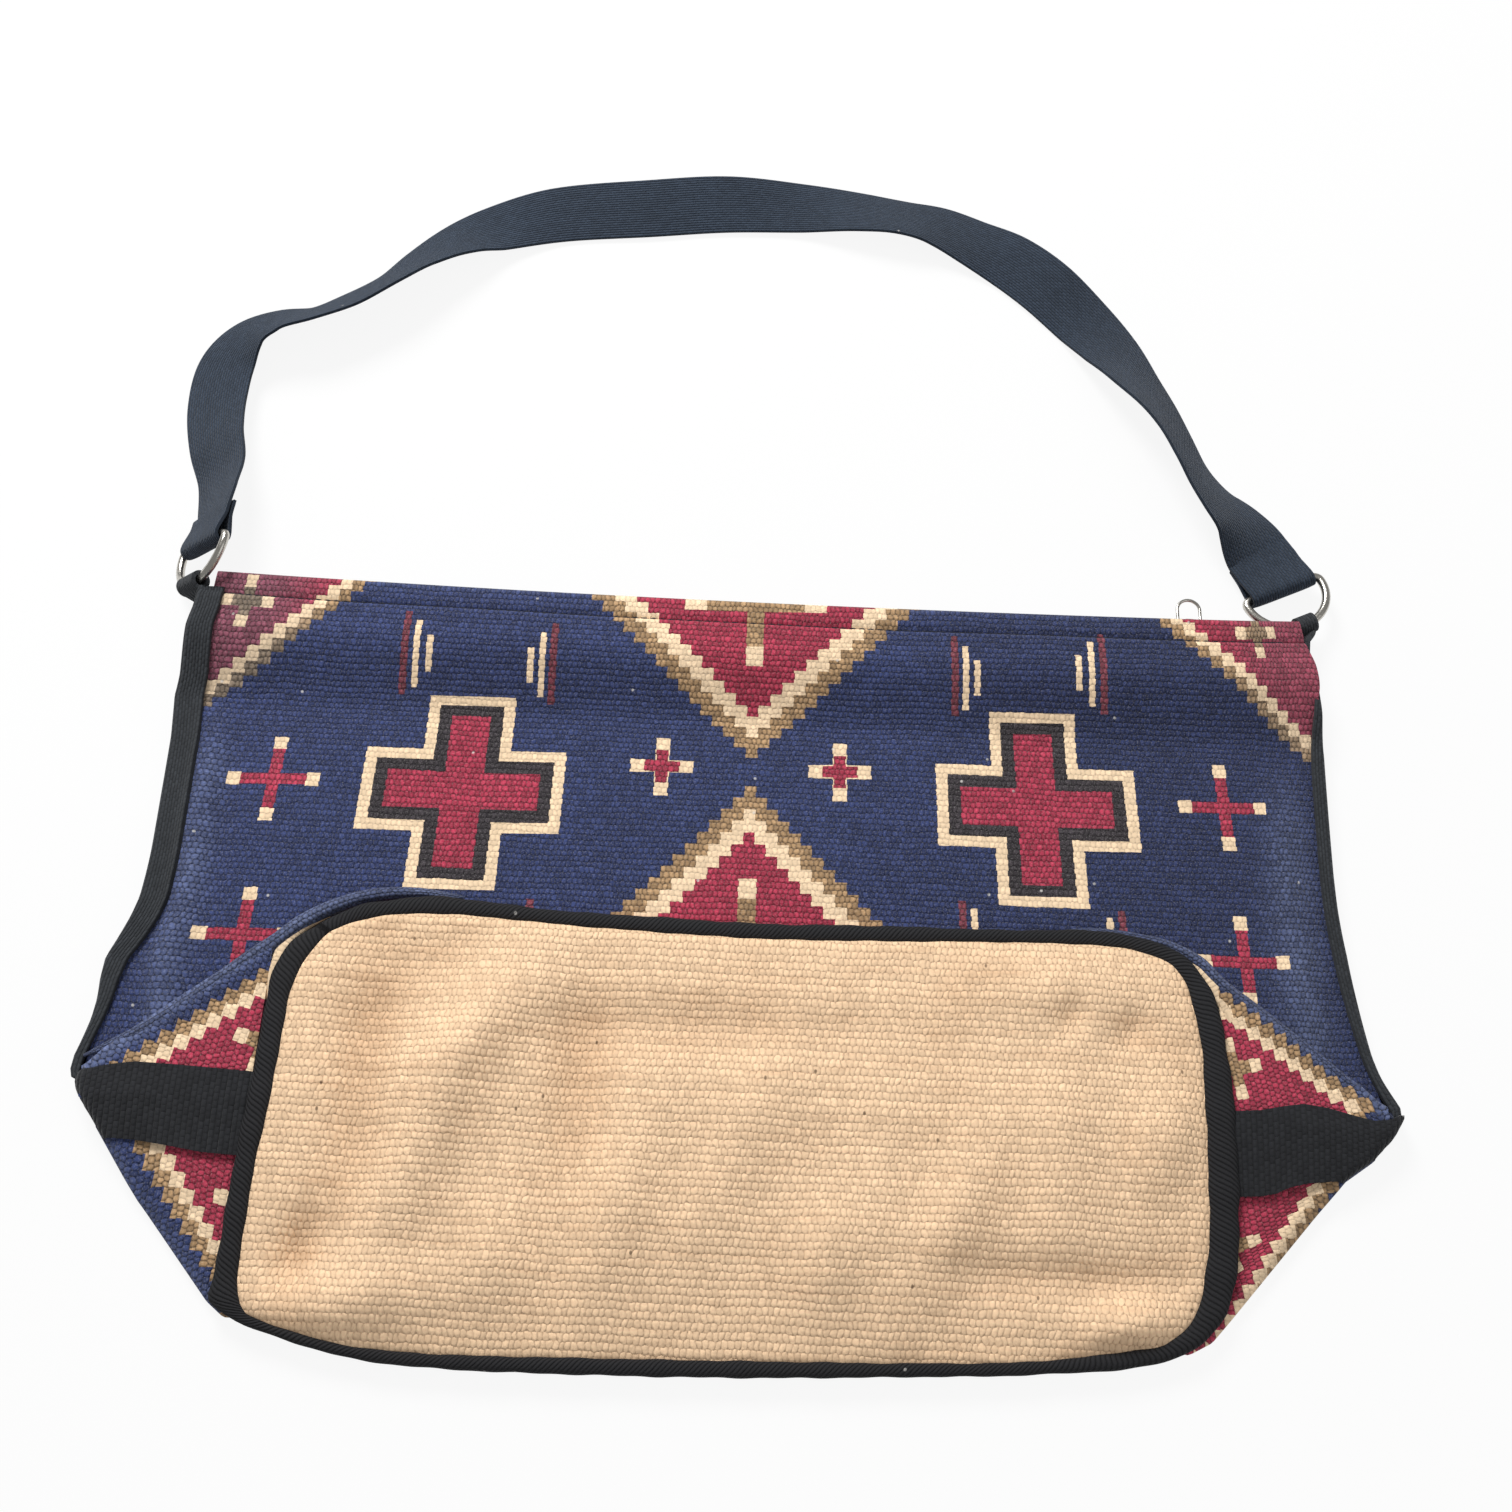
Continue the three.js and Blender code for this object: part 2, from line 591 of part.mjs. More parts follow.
// The webbing's end: an eye round the ring's bow and a neck back to the wrap
function ringLoop(frame, side) {
  const inner = LOOP_RADIUS;
  const outer = inner + WEBBING;
  const turns = steps(14, 0, 2 * Math.PI).slice(0, 14);
  const rings = turns.map((turn) => {
    const spoke = frame.depth.clone().multiplyScalar(Math.cos(turn));
    spoke.addScaledVector(frame.face, Math.sin(turn));
    return [[inner, -1], [inner, 1], [outer, 1], [outer, -1]].map(([radius, end]) => (
      frame.eye.clone().addScaledVector(spoke, radius).addScaledVector(frame.along, (end * LOOP_WIDTH) / 2)
    ));
  });
  const start = frame.eye.clone().addScaledVector(frame.depth, inner + WEBBING / 2);
  const endY = WRAP_TOP_Y - NECK_LAP;
  const finish = point(side * (sideHalf(endY) - WEBBING / 2), endY, MOUTH_Z);
  const corner = point(finish.x, mix(start.y, endY, 0.45), mix(start.z, MOUTH_Z, 0.6));
  const upright = point(0, 0, 1);
  const across = frame.along.clone().multiplyScalar(Math.sign(frame.along.z) || 1);
  const neck = [[start, 0], [corner, 0.7], [finish, 1]].map(([middle, turned]) => {
    const direction = across.clone().lerp(upright, turned).normalize();
    const reach = mix(LOOP_WIDTH - 1, NECK_WIDTH, turned) / 2;
    return [-1, 0, 1].map((end) => middle.clone().addScaledVector(direction, end * reach));
  });
  return [loft(rings, true), thickSheet(neck, WEBBING)];
}

function sideWebbing(side, shown, frame) {
  const body = [sideWrap(side, shown), gussetBand(side)].map(laidAskew);
  return joined([...body, ...ringLoop(frame, side)]);
}

// Strap: a loop round the left bar, the route over the table, and a loop round the right bar
function strapEnd(frame) {
  const away = frame.depth.clone().negate();
  const lift = frame.face.clone().multiplyScalar(Math.sign(frame.face.z));
  const turn = RING_WIRE / 2 + SEAM_GAP + WEBBING / 2;
  const together = (WEBBING + SEAM_GAP) / 2;
  const loop = steps(6, -90, 90).map((angle) => [
    -turn * Math.cos(radians(angle)),
    turn * Math.sin(radians(angle)),
  ]);
  const under = [[TAIL, -together], [TAIL_STITCH, -together], [LOOP_THROAT, -turn * 0.8]];
  const over = [[LOOP_THROAT, turn * 0.8], [TAIL_STITCH, together]];
  const line = [...under, ...loop, ...over];
  return line.map(([out, up]) => ({
    middle: frame.bar.clone().addScaledVector(away, out).addScaledVector(lift, up),
    across: frame.along,
  }));
}

function shoulderStrap(leftFrame, rightFrame) {
  const straight = (frame) => frame.bar.clone().addScaledVector(frame.depth, -STRAP_STRAIGHT);
  const half = WEBBING_WIDTH / 2;
  const lying = STRAP_ROUTE.map(([x, above, tilt]) => {
    const height = half * Math.abs(Math.sin(radians(tilt))) + (WEBBING / 2) * Math.cos(radians(tilt));
    return point((x * MOUTH_HALF) / ROUTE_HALF, MOUTH_Y + above, height + STRAP_LIFT);
  });
  const places = [straight(leftFrame), ...lying, straight(rightFrame)];
  const route = new THREE.CatmullRomCurve3(places, false, "centripetal");
  const tilts = [LEFT_RING_TILT, ...STRAP_ROUTE.map(([, , tilt]) => tilt), RIGHT_RING_TILT];
  const tiltCurve = new THREE.SplineCurve(tilts.map((tilt, i) => new THREE.Vector2(i, tilt)));
  const upright = point(0, 0, 1);
  const middle = steps(STRAP_STEPS).map((t) => {
    const tangent = route.getTangent(t);
    const tilt = radians(tiltCurve.getPoint(t).y);
    const inward = tangent.clone().cross(upright).normalize();
    const raised = inward.clone().cross(tangent).normalize();
    const across = inward.multiplyScalar(Math.cos(tilt)).addScaledVector(raised, Math.sin(tilt));
    return { middle: route.getPoint(t), across };
  });
  const stations = [...strapEnd(leftFrame), ...middle, ...strapEnd(rightFrame).reverse()];
  const rows = stations.map((station) => [-1, 0, 1].map((end) => (
    station.middle.clone().addScaledVector(station.across, end * half)
  )));
  return thickSheet(rows, WEBBING);
}

// Zip: two tapes folded against the hems, two rows of teeth across the mouth, the slider and its wire pull
const CHAIN_Y = MOUTH_Y - CHAIN_RECESS - CHAIN_THICK / 2;
const CHAIN_END_X = SLIDER_X + SLIDER_WALL;
const LUG_Y = MOUTH_Y + LUG_RISE;

function zipTape(side) {
  const hemFace = HEM_GAP / 2 - SEAM_GAP - TAPE / 2;
  const backOfChain = CHAIN_Y - CHAIN_THICK / 2 - SEAM_GAP;
  const line = [
    [backOfChain, CHAIN_HALF - TOOTH_SPINE / 2],
    [mix(backOfChain, HEM_END_Y, 0.15), mix(CHAIN_HALF, hemFace, 0.4)],
    [mix(backOfChain, HEM_END_Y, 0.35), hemFace],
    [HEM_END_Y + SEAM_GAP, hemFace],
  ];
  const rows = [-ZIP_HALF, ZIP_HALF].map((x) => line.map(([y, z]) => point(x, y, MOUTH_Z + side * z)));
  return thickSheet(rows, TAPE);
}

function zipTeeth(side) {
  const tip = CHAIN_HALF - TOOTH_SPINE - TOOTH_LENGTH;
  const shoulder = CHAIN_HALF - TOOTH_SPINE;
  const start = -ZIP_HALF + TOOTH_PITCH + (side > 0 ? 0 : TOOTH_PITCH / 2);
  const outline = new THREE.Shape();
  outline.moveTo(CHAIN_END_X, side * CHAIN_HALF);
  outline.lineTo(-ZIP_HALF + TOOTH_PITCH / 2, side * CHAIN_HALF);
  outline.lineTo(-ZIP_HALF + TOOTH_PITCH / 2, side * shoulder);
  for (let x = start; x + TOOTH_WIDTH / 2 < CHAIN_END_X; x += TOOTH_PITCH) {
    outline.lineTo(x - TOOTH_WIDTH / 2, side * shoulder);
    outline.lineTo(x - TOOTH_WIDTH / 2, side * tip);
    outline.lineTo(x + TOOTH_WIDTH / 2, side * tip);
    outline.lineTo(x + TOOTH_WIDTH / 2, side * shoulder);
  }
  outline.lineTo(CHAIN_END_X, side * shoulder);
  outline.closePath();
  const geometry = new THREE.ExtrudeGeometry(outline, { depth: CHAIN_THICK, bevelEnabled: false });
  return geometry.rotateX(Math.PI / 2).translate(0, CHAIN_Y + CHAIN_THICK / 2, MOUTH_Z);
}

function zipSlider() {
  const inner = CHAIN_HALF + SEAM_GAP;
  const outer = SLIDER_HALF;
  const face = CHAIN_Y + CHAIN_THICK / 2 + SEAM_GAP;
  const lip = CHAIN_Y - CHAIN_THICK / 2;
  const saddle = new THREE.Shape();
  saddle.moveTo(lip, MOUTH_Z - outer);
  saddle.lineTo(face + SLIDER_WALL, MOUTH_Z - outer);
  saddle.lineTo(face + SLIDER_WALL + SLIDER_CROWN, MOUTH_Z - inner);
  saddle.lineTo(face + SLIDER_WALL + SLIDER_CROWN, MOUTH_Z + inner);
  saddle.lineTo(face + SLIDER_WALL, MOUTH_Z + outer);
  saddle.lineTo(lip, MOUTH_Z + outer);
  saddle.lineTo(lip, MOUTH_Z + inner);
  saddle.lineTo(face, MOUTH_Z + inner);
  saddle.lineTo(face, MOUTH_Z - inner);
  saddle.lineTo(lip, MOUTH_Z - inner);
  const bore = PULL_WIRE / 2 + SEAM_GAP;
  const eye = bore + LUG_WALL;
  const lug = new THREE.Shape();
  lug.moveTo(face + SLIDER_WALL / 2, MOUTH_Z - eye);
  lug.lineTo(LUG_Y, MOUTH_Z - eye);
  lug.absarc(LUG_Y, MOUTH_Z, eye, -Math.PI / 2, Math.PI / 2, false);
  lug.lineTo(face + SLIDER_WALL / 2, MOUTH_Z + eye);
  lug.holes.push(new THREE.Path().absarc(LUG_Y, MOUTH_Z, bore, 0, 2 * Math.PI, true));
  return joined([extrudeAlongX(saddle, SLIDER_X, SLIDER_LENGTH), extrudeAlongX(lug, SLIDER_X, LUG_WIDTH)]);
}

function zipPull() {
  const half = (PULL_WIDTH - PULL_WIRE) / 2;
  const turn = 1.2 * PULL_WIRE;
  const corner = steps(3, 0, 90).map(radians).map((a) => [
    half - turn + turn * Math.sin(a),
    turn - turn * Math.cos(a),
  ]);
  const bow = steps(8, 0, 180).map(radians).map((a) => [
    half * Math.cos(a),
    PULL_LENGTH - half + half * Math.sin(a),
  ]);
  const outline = [[0, 0], ...corner, ...bow, ...corner.map(([x, y]) => [-x, y]).reverse()];
  const path = outline.map(([x, y]) => point(SLIDER_X + x, LUG_Y + y, MOUTH_Z));
  return wireLoop(path, point(0, 0, 1), PULL_WIRE / 2, 6);
}

// Finishes: colour, roughness and metalness of each piece
const PRINT = [0x2c3560, 0.92, 0];
const NATURAL = [0xcfa878, 0.94, 0];
const BLACK_WEB = [0x1b1e22, 0.85, 0];
const BLACK_TWILL = [0x16171a, 0.9, 0];
const NICKEL = [0xb9b7ae, 0.28, 1];
const ZIP_CLOTH = [0x1d2027, 0.9, 0];
const ZIP_TOOTH = [0x2a2b2e, 0.55, 0];

function piece(name, geometry, [color, roughness, metalness]) {
  geometry.computeVertexNormals();
  const mesh = new THREE.Mesh(geometry, new THREE.MeshStandardMaterial({ color, roughness, metalness }));
  mesh.name = name;
  return mesh;
}

const leftEye = point(
  -(MOUTH_HALF + LEFT_EYE_OUT),
  MOUTH_Y + LEFT_EYE_UP,
  (RING_WIDTH / 2 + RING_WIRE) * Math.sin(radians(LEFT_RING_TILT)) + LEFT_RING_CLEAR,
);
const rightEye = point(MOUTH_HALF + RIGHT_EYE_OUT, MOUTH_Y + RIGHT_EYE_UP, MOUTH_Z);
const leftFrame = ringFrame(leftEye, LEFT_RING_HEADING, LEFT_RING_RISE, LEFT_RING_TILT, -1);
const rightFrame = ringFrame(rightEye, RIGHT_RING_HEADING, RIGHT_RING_RISE, RIGHT_RING_TILT, 1);

const bag = new THREE.Group();
bag.add(piece("front_panel", frontPanel(), PRINT));
bag.add(piece("back_panel", backPanel(), PRINT));
bag.add(piece("base_panel", basePanel(), NATURAL));
bag.add(piece("base_binding", baseBinding(), BLACK_TWILL));
bag.add(piece("side_webbing_left", sideWebbing(-1, SHOWN_LEFT, leftFrame), BLACK_WEB));
bag.add(piece("side_webbing_right", sideWebbing(1, SHOWN_RIGHT, rightFrame), BLACK_WEB));
bag.add(piece("ring_left", dRing(leftFrame), NICKEL));
bag.add(piece("ring_right", dRing(rightFrame), NICKEL));
bag.add(piece("shoulder_strap", shoulderStrap(leftFrame, rightFrame), BLACK_WEB));
bag.add(piece("zip_tape_front", zipTape(1), ZIP_CLOTH));
bag.add(piece("zip_tape_back", zipTape(-1), ZIP_CLOTH));
bag.add(piece("zip_teeth_front", zipTeeth(1), ZIP_TOOTH));
bag.add(piece("zip_teeth_back", zipTeeth(-1), ZIP_TOOTH));
bag.add(piece("zip_slider", zipSlider(), NICKEL));
bag.add(piece("zip_pull", zipPull(), NICKEL));

export default bag;
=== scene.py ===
"""Shoulder bag lying empty on its back, base folded up over the front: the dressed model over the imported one.

Lengths inside the shape functions are millimetres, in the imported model's own axes: the table is z = 0, +Y
runs from the base to the mouth and the strap, +X to the right. They become metres when a mesh is made.
"""
import math
from collections import namedtuple

import bpy
import numpy as np
from mathutils import Matrix, Vector


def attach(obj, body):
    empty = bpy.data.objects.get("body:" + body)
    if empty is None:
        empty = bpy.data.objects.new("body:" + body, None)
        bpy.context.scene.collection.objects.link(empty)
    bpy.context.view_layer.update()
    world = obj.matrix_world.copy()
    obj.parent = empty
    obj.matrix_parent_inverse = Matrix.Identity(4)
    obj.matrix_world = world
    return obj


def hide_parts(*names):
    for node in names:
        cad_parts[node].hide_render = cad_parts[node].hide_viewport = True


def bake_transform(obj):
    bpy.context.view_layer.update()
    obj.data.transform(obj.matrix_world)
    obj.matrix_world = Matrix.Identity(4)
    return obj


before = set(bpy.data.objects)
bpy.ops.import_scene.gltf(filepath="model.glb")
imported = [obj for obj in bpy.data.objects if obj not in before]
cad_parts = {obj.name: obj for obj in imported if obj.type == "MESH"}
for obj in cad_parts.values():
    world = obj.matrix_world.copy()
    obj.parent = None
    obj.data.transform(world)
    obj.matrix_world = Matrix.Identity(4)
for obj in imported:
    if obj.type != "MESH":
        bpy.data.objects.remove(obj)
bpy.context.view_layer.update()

bl_info = {
    "name": "Shoulder bag",
    "version": (1, 0, 0),
    "blender": (4, 5, 0),
    "location": "3D View > Sidebar > Bag",
    "description": "Builds the cloth, webbing, rings, zip and stitching of a printed cotton shoulder bag",
    "category": "Object",
}

MM = 0.001
UP = (0.0, 0.0, 1.0)

# How far lower the print sits on the back cloth than on the front
BACK_PRINT_DROP = 8.0
# Wear of the back cloth, the same all over
BACK_WEAR = 0.1
# A place on the cloth beyond the print
UNPRINTED_X = 1000.0
# A place on the cream outline of a large cross
PALE_PRINT = (113.5, 103.8)

# Outline of the body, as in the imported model
MOUTH_Y = 150.0
MOUTH_HALF = 240.0
WAIST_Y = 30.0
WAIST_HALF = 237.5
TIP_Y = -59.0
TIP_HALF = 252.0
LAY_SKEW = 0.04
HEM_END_Y = 128.0
HEM_STITCH_Y = 139.5
DROP_END_Y = 92.0
WRAP_TOP_Y = 141.0

# The folded base
BASE_FRONT_Y = 8.0
BASE_BACK_Y = -156.0
BINDING_WIDTH = 7.5
BINDING_HEIGHT = 6.5
FRONT_CORNER_Y = -5.0
BACK_CORNER_Y = -144.0
EAR_INNER_X = 182.3
EAR_OUTER_X = 222.0
EAR_SPLIT_Y = -65.4
FRONT_SLOPE = 1.2537
BACK_SLOPE = 0.82
BAND_END_Y = -87.0
# Base inside its binding: width and depth
BASE_INNER = (348.0, 152.0)
# How far the flap's and the back cloth's corners beside the base are rounded off
FLAP_CORNER = 20.0
BACK_CORNER = 30.0
# Room between the tips and the flap, and the gussets' upper halves
FLAP_TIP_ROOM = 8.0
EAR_TIP_ROOM = 7.0
# Room between the outline and the gussets' lower folds
LOWER_FOLD_INSET = 3.15
# Room between the webbing's outer face and the cloth: everywhere, and more near the mouth and at the tips
PANEL_INSET = 3.1
MOUTH_INSET = 4.0
MOUTH_INSET_Y = 117.0
TIP_INSET = 2.0

# Heights of the layers' mid-planes
FOLD_RADIUS = 1.15
LAYER = 2.3
BACK_Z = 1.0
BACK_HEM_Z = 3.3
FRONT_HEM_Z = 14.5
FRONT_LIP_Z = 16.8
MOUTH_Z = 8.9
FRONT_Z = 6.0
FLAP_Z = 8.3
EAR_Z = 10.6
BINDING_FRONT_Z = 12.85
BINDING_BACK_Z = 5.55
# Half thicknesses that set one layer above another, and the clear space between them
HALF_CLOTH = 1.0
HALF_WEBBING = 0.9
CLEARANCE = 0.3
LAYER_GAP = 0.1

# Numbers of points: rows in a hem's inner layer, columns and rows of the sheets, threads of a band, stations
# and columns of the strap, stations of a roll and of the binding, points round a roll, a ring and the pull
HEM_INNER_ROWS = 6
FRONT_COLUMNS = 141
BACK_COLUMNS = 111
BASE_COLUMNS = 221
BASE_ROWS = 111
BAND_THREADS = 27
STRAP_STATIONS = 301
STRAP_COLUMNS = 11
ROLL_STATIONS = 141
BINDING_STATIONS = 441
ROLL_ROUND = 20
RING_ROUND = 16
PULL_ROUND = 10

# Ridges and hollows of the front cloth beside the webbing: x, half width, height, y of start and full height
RIDGES = (
    (-221, 5.5, 3.0, 98, 66), (-211, 4.5, -0.7, 98, 66), (218, 7.5, 1.8, 92, 54), (203, 6.0, -0.6, 92, 54),
)
# Where the front cloth is rubbed pale, and on the ridges painted with a highlight: x, half width, strength, y
# of start and full strength
RUBBED_AND_HIGHLIT = ((-220, 6.5, 0.5, 100, 50), (218, 11.0, 0.5, 96, 40))
GROOVE_DEPTH = 1.1
# How far in from the edge a move of the lying cloth starts, and how far in it is full
SIDE_FADE = (45.0, 3.0)
LOWER_FADE = (28.0, 2.0)
# Distances from the middle where the lower folds' inset starts and is full
TIP_FADE = (250.0, 240.0)

# Power of the curve of the side edges out to the tips
TIP_CURVE = 1.7
# Back cloth over the webbing's under edge: distances from the edge, rise, and y where it ends
OVER_EDGE = (36.0, 18.0)
OVER_EDGE_RISE = 2.1
UNDER_WRAP_Y = 114.0
UNDER_BAND_Y = -101.0
# Waves of the front cloth: y where they start and end, and distances from the side edges; y where the ridges
# beside the webbing start
WAVES_START = (10.0, 34.0)
WAVES_END = (147.0, 136.0)
WAVES_EDGE = (3.0, 26.0)
RIDGES_START = (-58.0, -40.0)
# Sag of the mouth's edge: depth, half width, and y where it starts and is full
MOUTH_SAG = 3.0
SAG_HALF = 235.0
SAG_START = (70.0, 142.0)
# Wear along the mouth, and y where it starts
MOUTH_WEAR = 0.15
MOUTH_WEAR_Y = 144.0
# Puffs beside the gussets' folds: height, distance from the fold, spread, distance where it is full
UPPER_PUFF = (1.5, 6.0, 4.5, 2.5)
LOWER_PUFF = (1.2, 7.0, 5.0, 3.0)
# Wear along the same folds: strength, distance from the fold, spread
UPPER_WEAR = (0.7, 2.0, 4.5)
LOWER_WEAR = (0.25, 1.0, 4.5)
# Fade of the upper puff towards the tips: distances from the tip
PUFF_FADE = (20.0, 42.0)

# Soft folds of the base: x, y, direction in degrees, half width, half length, height
BASE_FOLDS = (
    (-110, -70, 70, 12, 55, 5.5), (-140, -60, 90, 12, 55, -5.5), (-60, -55, 90, 12, 35, -5.5),
    (-15, -35, 0, 12, 55, -3.5), (-135, -138, 10, 12, 35, 5.5), (-156, -122, 80, 8, 15, -5.5),
    (-100, -42, 40, 12, 35, 4.0), (-124, -20, 40, 12, 35, -2.5), (-85, -122, 90, 12, 20, 4.0),
    (-42, -104, 80, 12, 35, 4.5), (0, -80, 65, 12, 55, 2.5), (35, -115, 90, 12, 20, 5.0),
    (54, -104, 90, 12, 35, 3.0), (78, -104, 65, 12, 35, 5.5), (118, -82, 90, 13, 40, 4.0),
    (155, -72, 70, 12, 20, 4.5), (122, -120, 0, 8, 42, -3.5), (142, -134, 10, 8, 15, 5.5),
    (146, -144, 0, 5, 10, -4.0), (120, -14, 0, 12, 35, 4.0), (124, -24, 60, 6, 8, -3.0),
    (147, -29, 60, 7, 9, -3.0),
)

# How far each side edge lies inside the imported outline: y and distance
LEFT_DRAWN_IN = (
    (-64, 0), (-56, -1.5), (-41, -1.5), (-33, -2.5), (-25, -4.5), (-17, -5.5), (-9, -3.5), (0, -1.5),
    (8, -0.5), (50, -1.5), (77, -2), (95, -3.5), (104, -2), (123, -0.5), (132, 1.5), (150, 3),
)
RIGHT_DRAWN_IN = (
    (-64, 0), (-55, 1.5), (-40, 4.5), (-33, 5), (-9, 4), (7, 3.5), (40, 4), (92, 3.5), (110, 4.5),
    (120, 5.5), (148, 11),
)

# Where the front cloth comes to lap over the right webbing near the mouth: y, and the width that moves; what
# then shows of the webbing's flange, y from which it narrows, and how far it drops
RIGHT_LAP = (106.0, 124.0)
LAP_WIDTH = 14.0
LAPPED_FLANGE = 3.2
LAPPED_Y = 84.0
LAPPED_DROP = 4.4
# Flanges of the side webbing: on top of the left and the right one, on top at the tips, y where it narrows to
# that, underneath in the middle and at the mouth, and the width of the bend between them
LEFT_FLANGE = 12.0
RIGHT_FLANGE = 6.0
TIP_FLANGE = 4.5
FLANGE_NARROWS = (10.0, -50.0)
UNDER_FLANGE = 9.0
UNDER_FLANGE_MOUTH = 2.6
WRAP_BEND = 2.6

# The outline from the left tip along the lower edge to the right tip: x and y
LOWER_EDGE = (
    (-251, -63), (-245.5, -71), (-218, -106), (-187, -139.5), (-177.5, -146.5), (-158, -152),
    (-131, -157.5), (-104, -159), (-48, -159), (8, -157.5), (65, -154.5), (107, -152), (150, -147),
    (159.5, -144.5), (173, -137.5), (180, -130), (226, -79), (237.5, -71), (245, -63), (250.5, -55),
)

# The bands across the gussets as they lie: distance from the middle and y, along the upper and the lower edge
LEFT_BAND = (
    (
        (178, -59.5), (183, -59.2), (210.5, -58), (225.6, -57.6), (235, -59), (242.3, -61), (250, -62),
        (256, -62.5),
    ),
    (
        (178, -89.8), (183.8, -89.6), (196.7, -89), (210.7, -86.9), (221.2, -85.6), (230.5, -85.2),
        (256, -84.5),
    ),
)
RIGHT_BAND = (
    (
        (178, -57), (183.7, -56.9), (194.4, -56), (203.3, -54.1), (210.8, -52.9), (219.6, -54),
        (229.2, -56.4), (236.4, -58), (242.7, -57.4), (247.2, -55.2), (256, -52.5),
    ),
    (
        (178, -87.8), (183.1, -87.6), (192.4, -87), (198.6, -85.7), (203.8, -83.2), (211.3, -81.2),
        (223.1, -79.8), (256, -78),
    ),
)

# The bands' curl at the tips: how far the upper corner is rounded off on the left and the right, the bend's
# width along the upper and the lower edge, and how far the end reaches back underneath
LEFT_BAND_ROUNDED = 3.5
RIGHT_BAND_ROUNDED = 0.4
BAND_BEND = (9.0, 4.5)
BAND_UNDER = 12.6
# Small ribs across the bands beside the base: height, turns per millimetre in radians, and where they fade
BAND_RIBS = 0.3
BAND_RIBS_RATE = 1.5
BAND_RIBS_FADE = (204.0, 188.0)

# The base's seam as it lies, clockwise from the front left: x and y of the binding's outer and inner edge
BASE_SEAM = (
    (-165, -1, -160, -4), (-151, 7, -150, 1.3), (-136, 10.3, -135, 4.8), (-120, 12.2, -119, 5.7),
    (-104, 11, -104, 5.5), (-73, 8.6, -73, 3.8), (-40, 8, -40, 2.6), (5, 7.2, 5, 1.8), (50, 8.5, 50, 3),
    (98, 9.2, 98, 5), (141, 10.5, 139, 5.2), (157, 7.5, 153.7, 3), (169, 2.5, 164, -2),
    (177, -7, 170, -10), (181.2, -18.5, 172.8, -21.5), (183.5, -34, 174.4, -35),
    (184.7, -60, 174.3, -60), (184.5, -95, 174, -95), (183.2, -110, 172.8, -110),
    (177.5, -130, 167, -130), (164.5, -141.7, 155, -139.9), (150, -147, 142.5, -142.8),
    (107, -152, 107, -148.6), (65, -154.5, 65, -151), (8, -157.3, 8, -152.8), (-48, -158.8, -48, -154.3),
    (-104, -159, -104, -155.4), (-133, -157, -133, -154), (-162, -150.6, -162, -147.7),
    (-176.5, -146, -171, -143.8), (-185.4, -140, -175.3, -139.5), (-185.4, -134, -176.7, -134.5),
    (-184.4, -116, -177.2, -116), (-183.5, -90, -176.3, -90), (-181.9, -66, -174.2, -66),
    (-181.2, -40, -173.7, -40), (-181, -24, -172.5, -25.5), (-178.5, -15, -169.5, -16.4),
    (-173.4, -7, -165.5, -10),
)
# Stations of that table where the four sides meet
SEAM_CORNERS = (0, 12, 20, 29, 39)

# Base inside the binding: height and reach of the roll at its edge, how deep that sits, height and reach of
# the crown, how far in the folds are full, and the depth of a fold that is shaded in full
EDGE_ROLL = 3.3
EDGE_ROLL_REACH = 7.0
EDGE_SUNK = 1.2
CROWN = 1.8
CROWN_REACH = 42.0
FOLDS_INSIDE = 12.0
FOLD_SHADED = 6.0
# Binding: how far it laps over the base, how boxy its oval is, its mean radius, how lumpy it is
BINDING_LAP = 0.8
BINDING_BOXY = 0.8
BINDING_ROUND = 3.4
BINDING_LUMPS = 0.04

# Soft rolls of cloth from each gusset's tip round the base's front corner: x, y, z, half width, half height
LEFT_ROLL = (
    (-247, -55.5, 9.3, 0.6, 0.5), (-238, -51, 9.6, 1.8, 1.6), (-224, -43, 9.8, 2.6, 2.6),
    (-207, -29.5, 9.8, 3.0, 3.2), (-191, -15.5, 9.8, 3.3, 3.6), (-181, -7.5, 9.9, 3.4, 3.9),
    (-173.5, -0.5, 9.8, 3.4, 3.9), (-163, 6.3, 9.5, 3.2, 3.7), (-149, 12, 9.0, 2.9, 3.3),
    (-131, 14.8, 7.8, 2.2, 2.4), (-112, 14.2, 6.4, 0.8, 0.8),
)
RIGHT_ROLL = (
    (246, -56.5, 9.3, 0.6, 0.5), (238, -50.5, 9.6, 1.4, 1.4), (229.7, -43.8, 9.8, 1.9, 2.0),
    (215.7, -32, 9.8, 2.2, 2.5), (201.4, -21, 9.8, 2.4, 2.9), (189.3, -12.6, 9.9, 2.6, 3.4),
    (182, -6, 9.9, 2.7, 3.8), (175.9, 0.5, 9.8, 2.7, 3.8), (164.6, 6.6, 9.4, 2.5, 3.5),
    (154, 9.5, 8.6, 2.2, 2.9), (140, 12, 7.2, 1.6, 1.8), (124, 12.5, 6.2, 0.6, 0.6),
)

# Pale slivers of the print between each roll and the binding: the same values
LEFT_SLIVER = (
    (-181.5, -31, 10, 0.5, 0.5), (-181.2, -26, 10.6, 1.6, 1.2), (-180.3, -17.7, 10.8, 2.4, 1.6),
    (-178.3, -9.6, 10.8, 2.6, 1.6), (-174.5, -3.5, 10.6, 2.6, 1.6), (-168.5, 1.5, 10.2, 2.2, 1.4),
    (-160, 5.5, 9.6, 0.8, 0.8),
)
RIGHT_SLIVER = (
    (163, 6, 9.6, 0.8, 0.8), (170.5, 3, 10.2, 2.0, 1.4), (175, -0.5, 10.6, 2.4, 1.6),
    (179.5, -6, 10.8, 2.6, 1.6), (183, -13, 10.8, 2.4, 1.6), (185.5, -20.5, 10.6, 1.8, 1.4),
    (187, -28, 10, 0.6, 0.6),
)

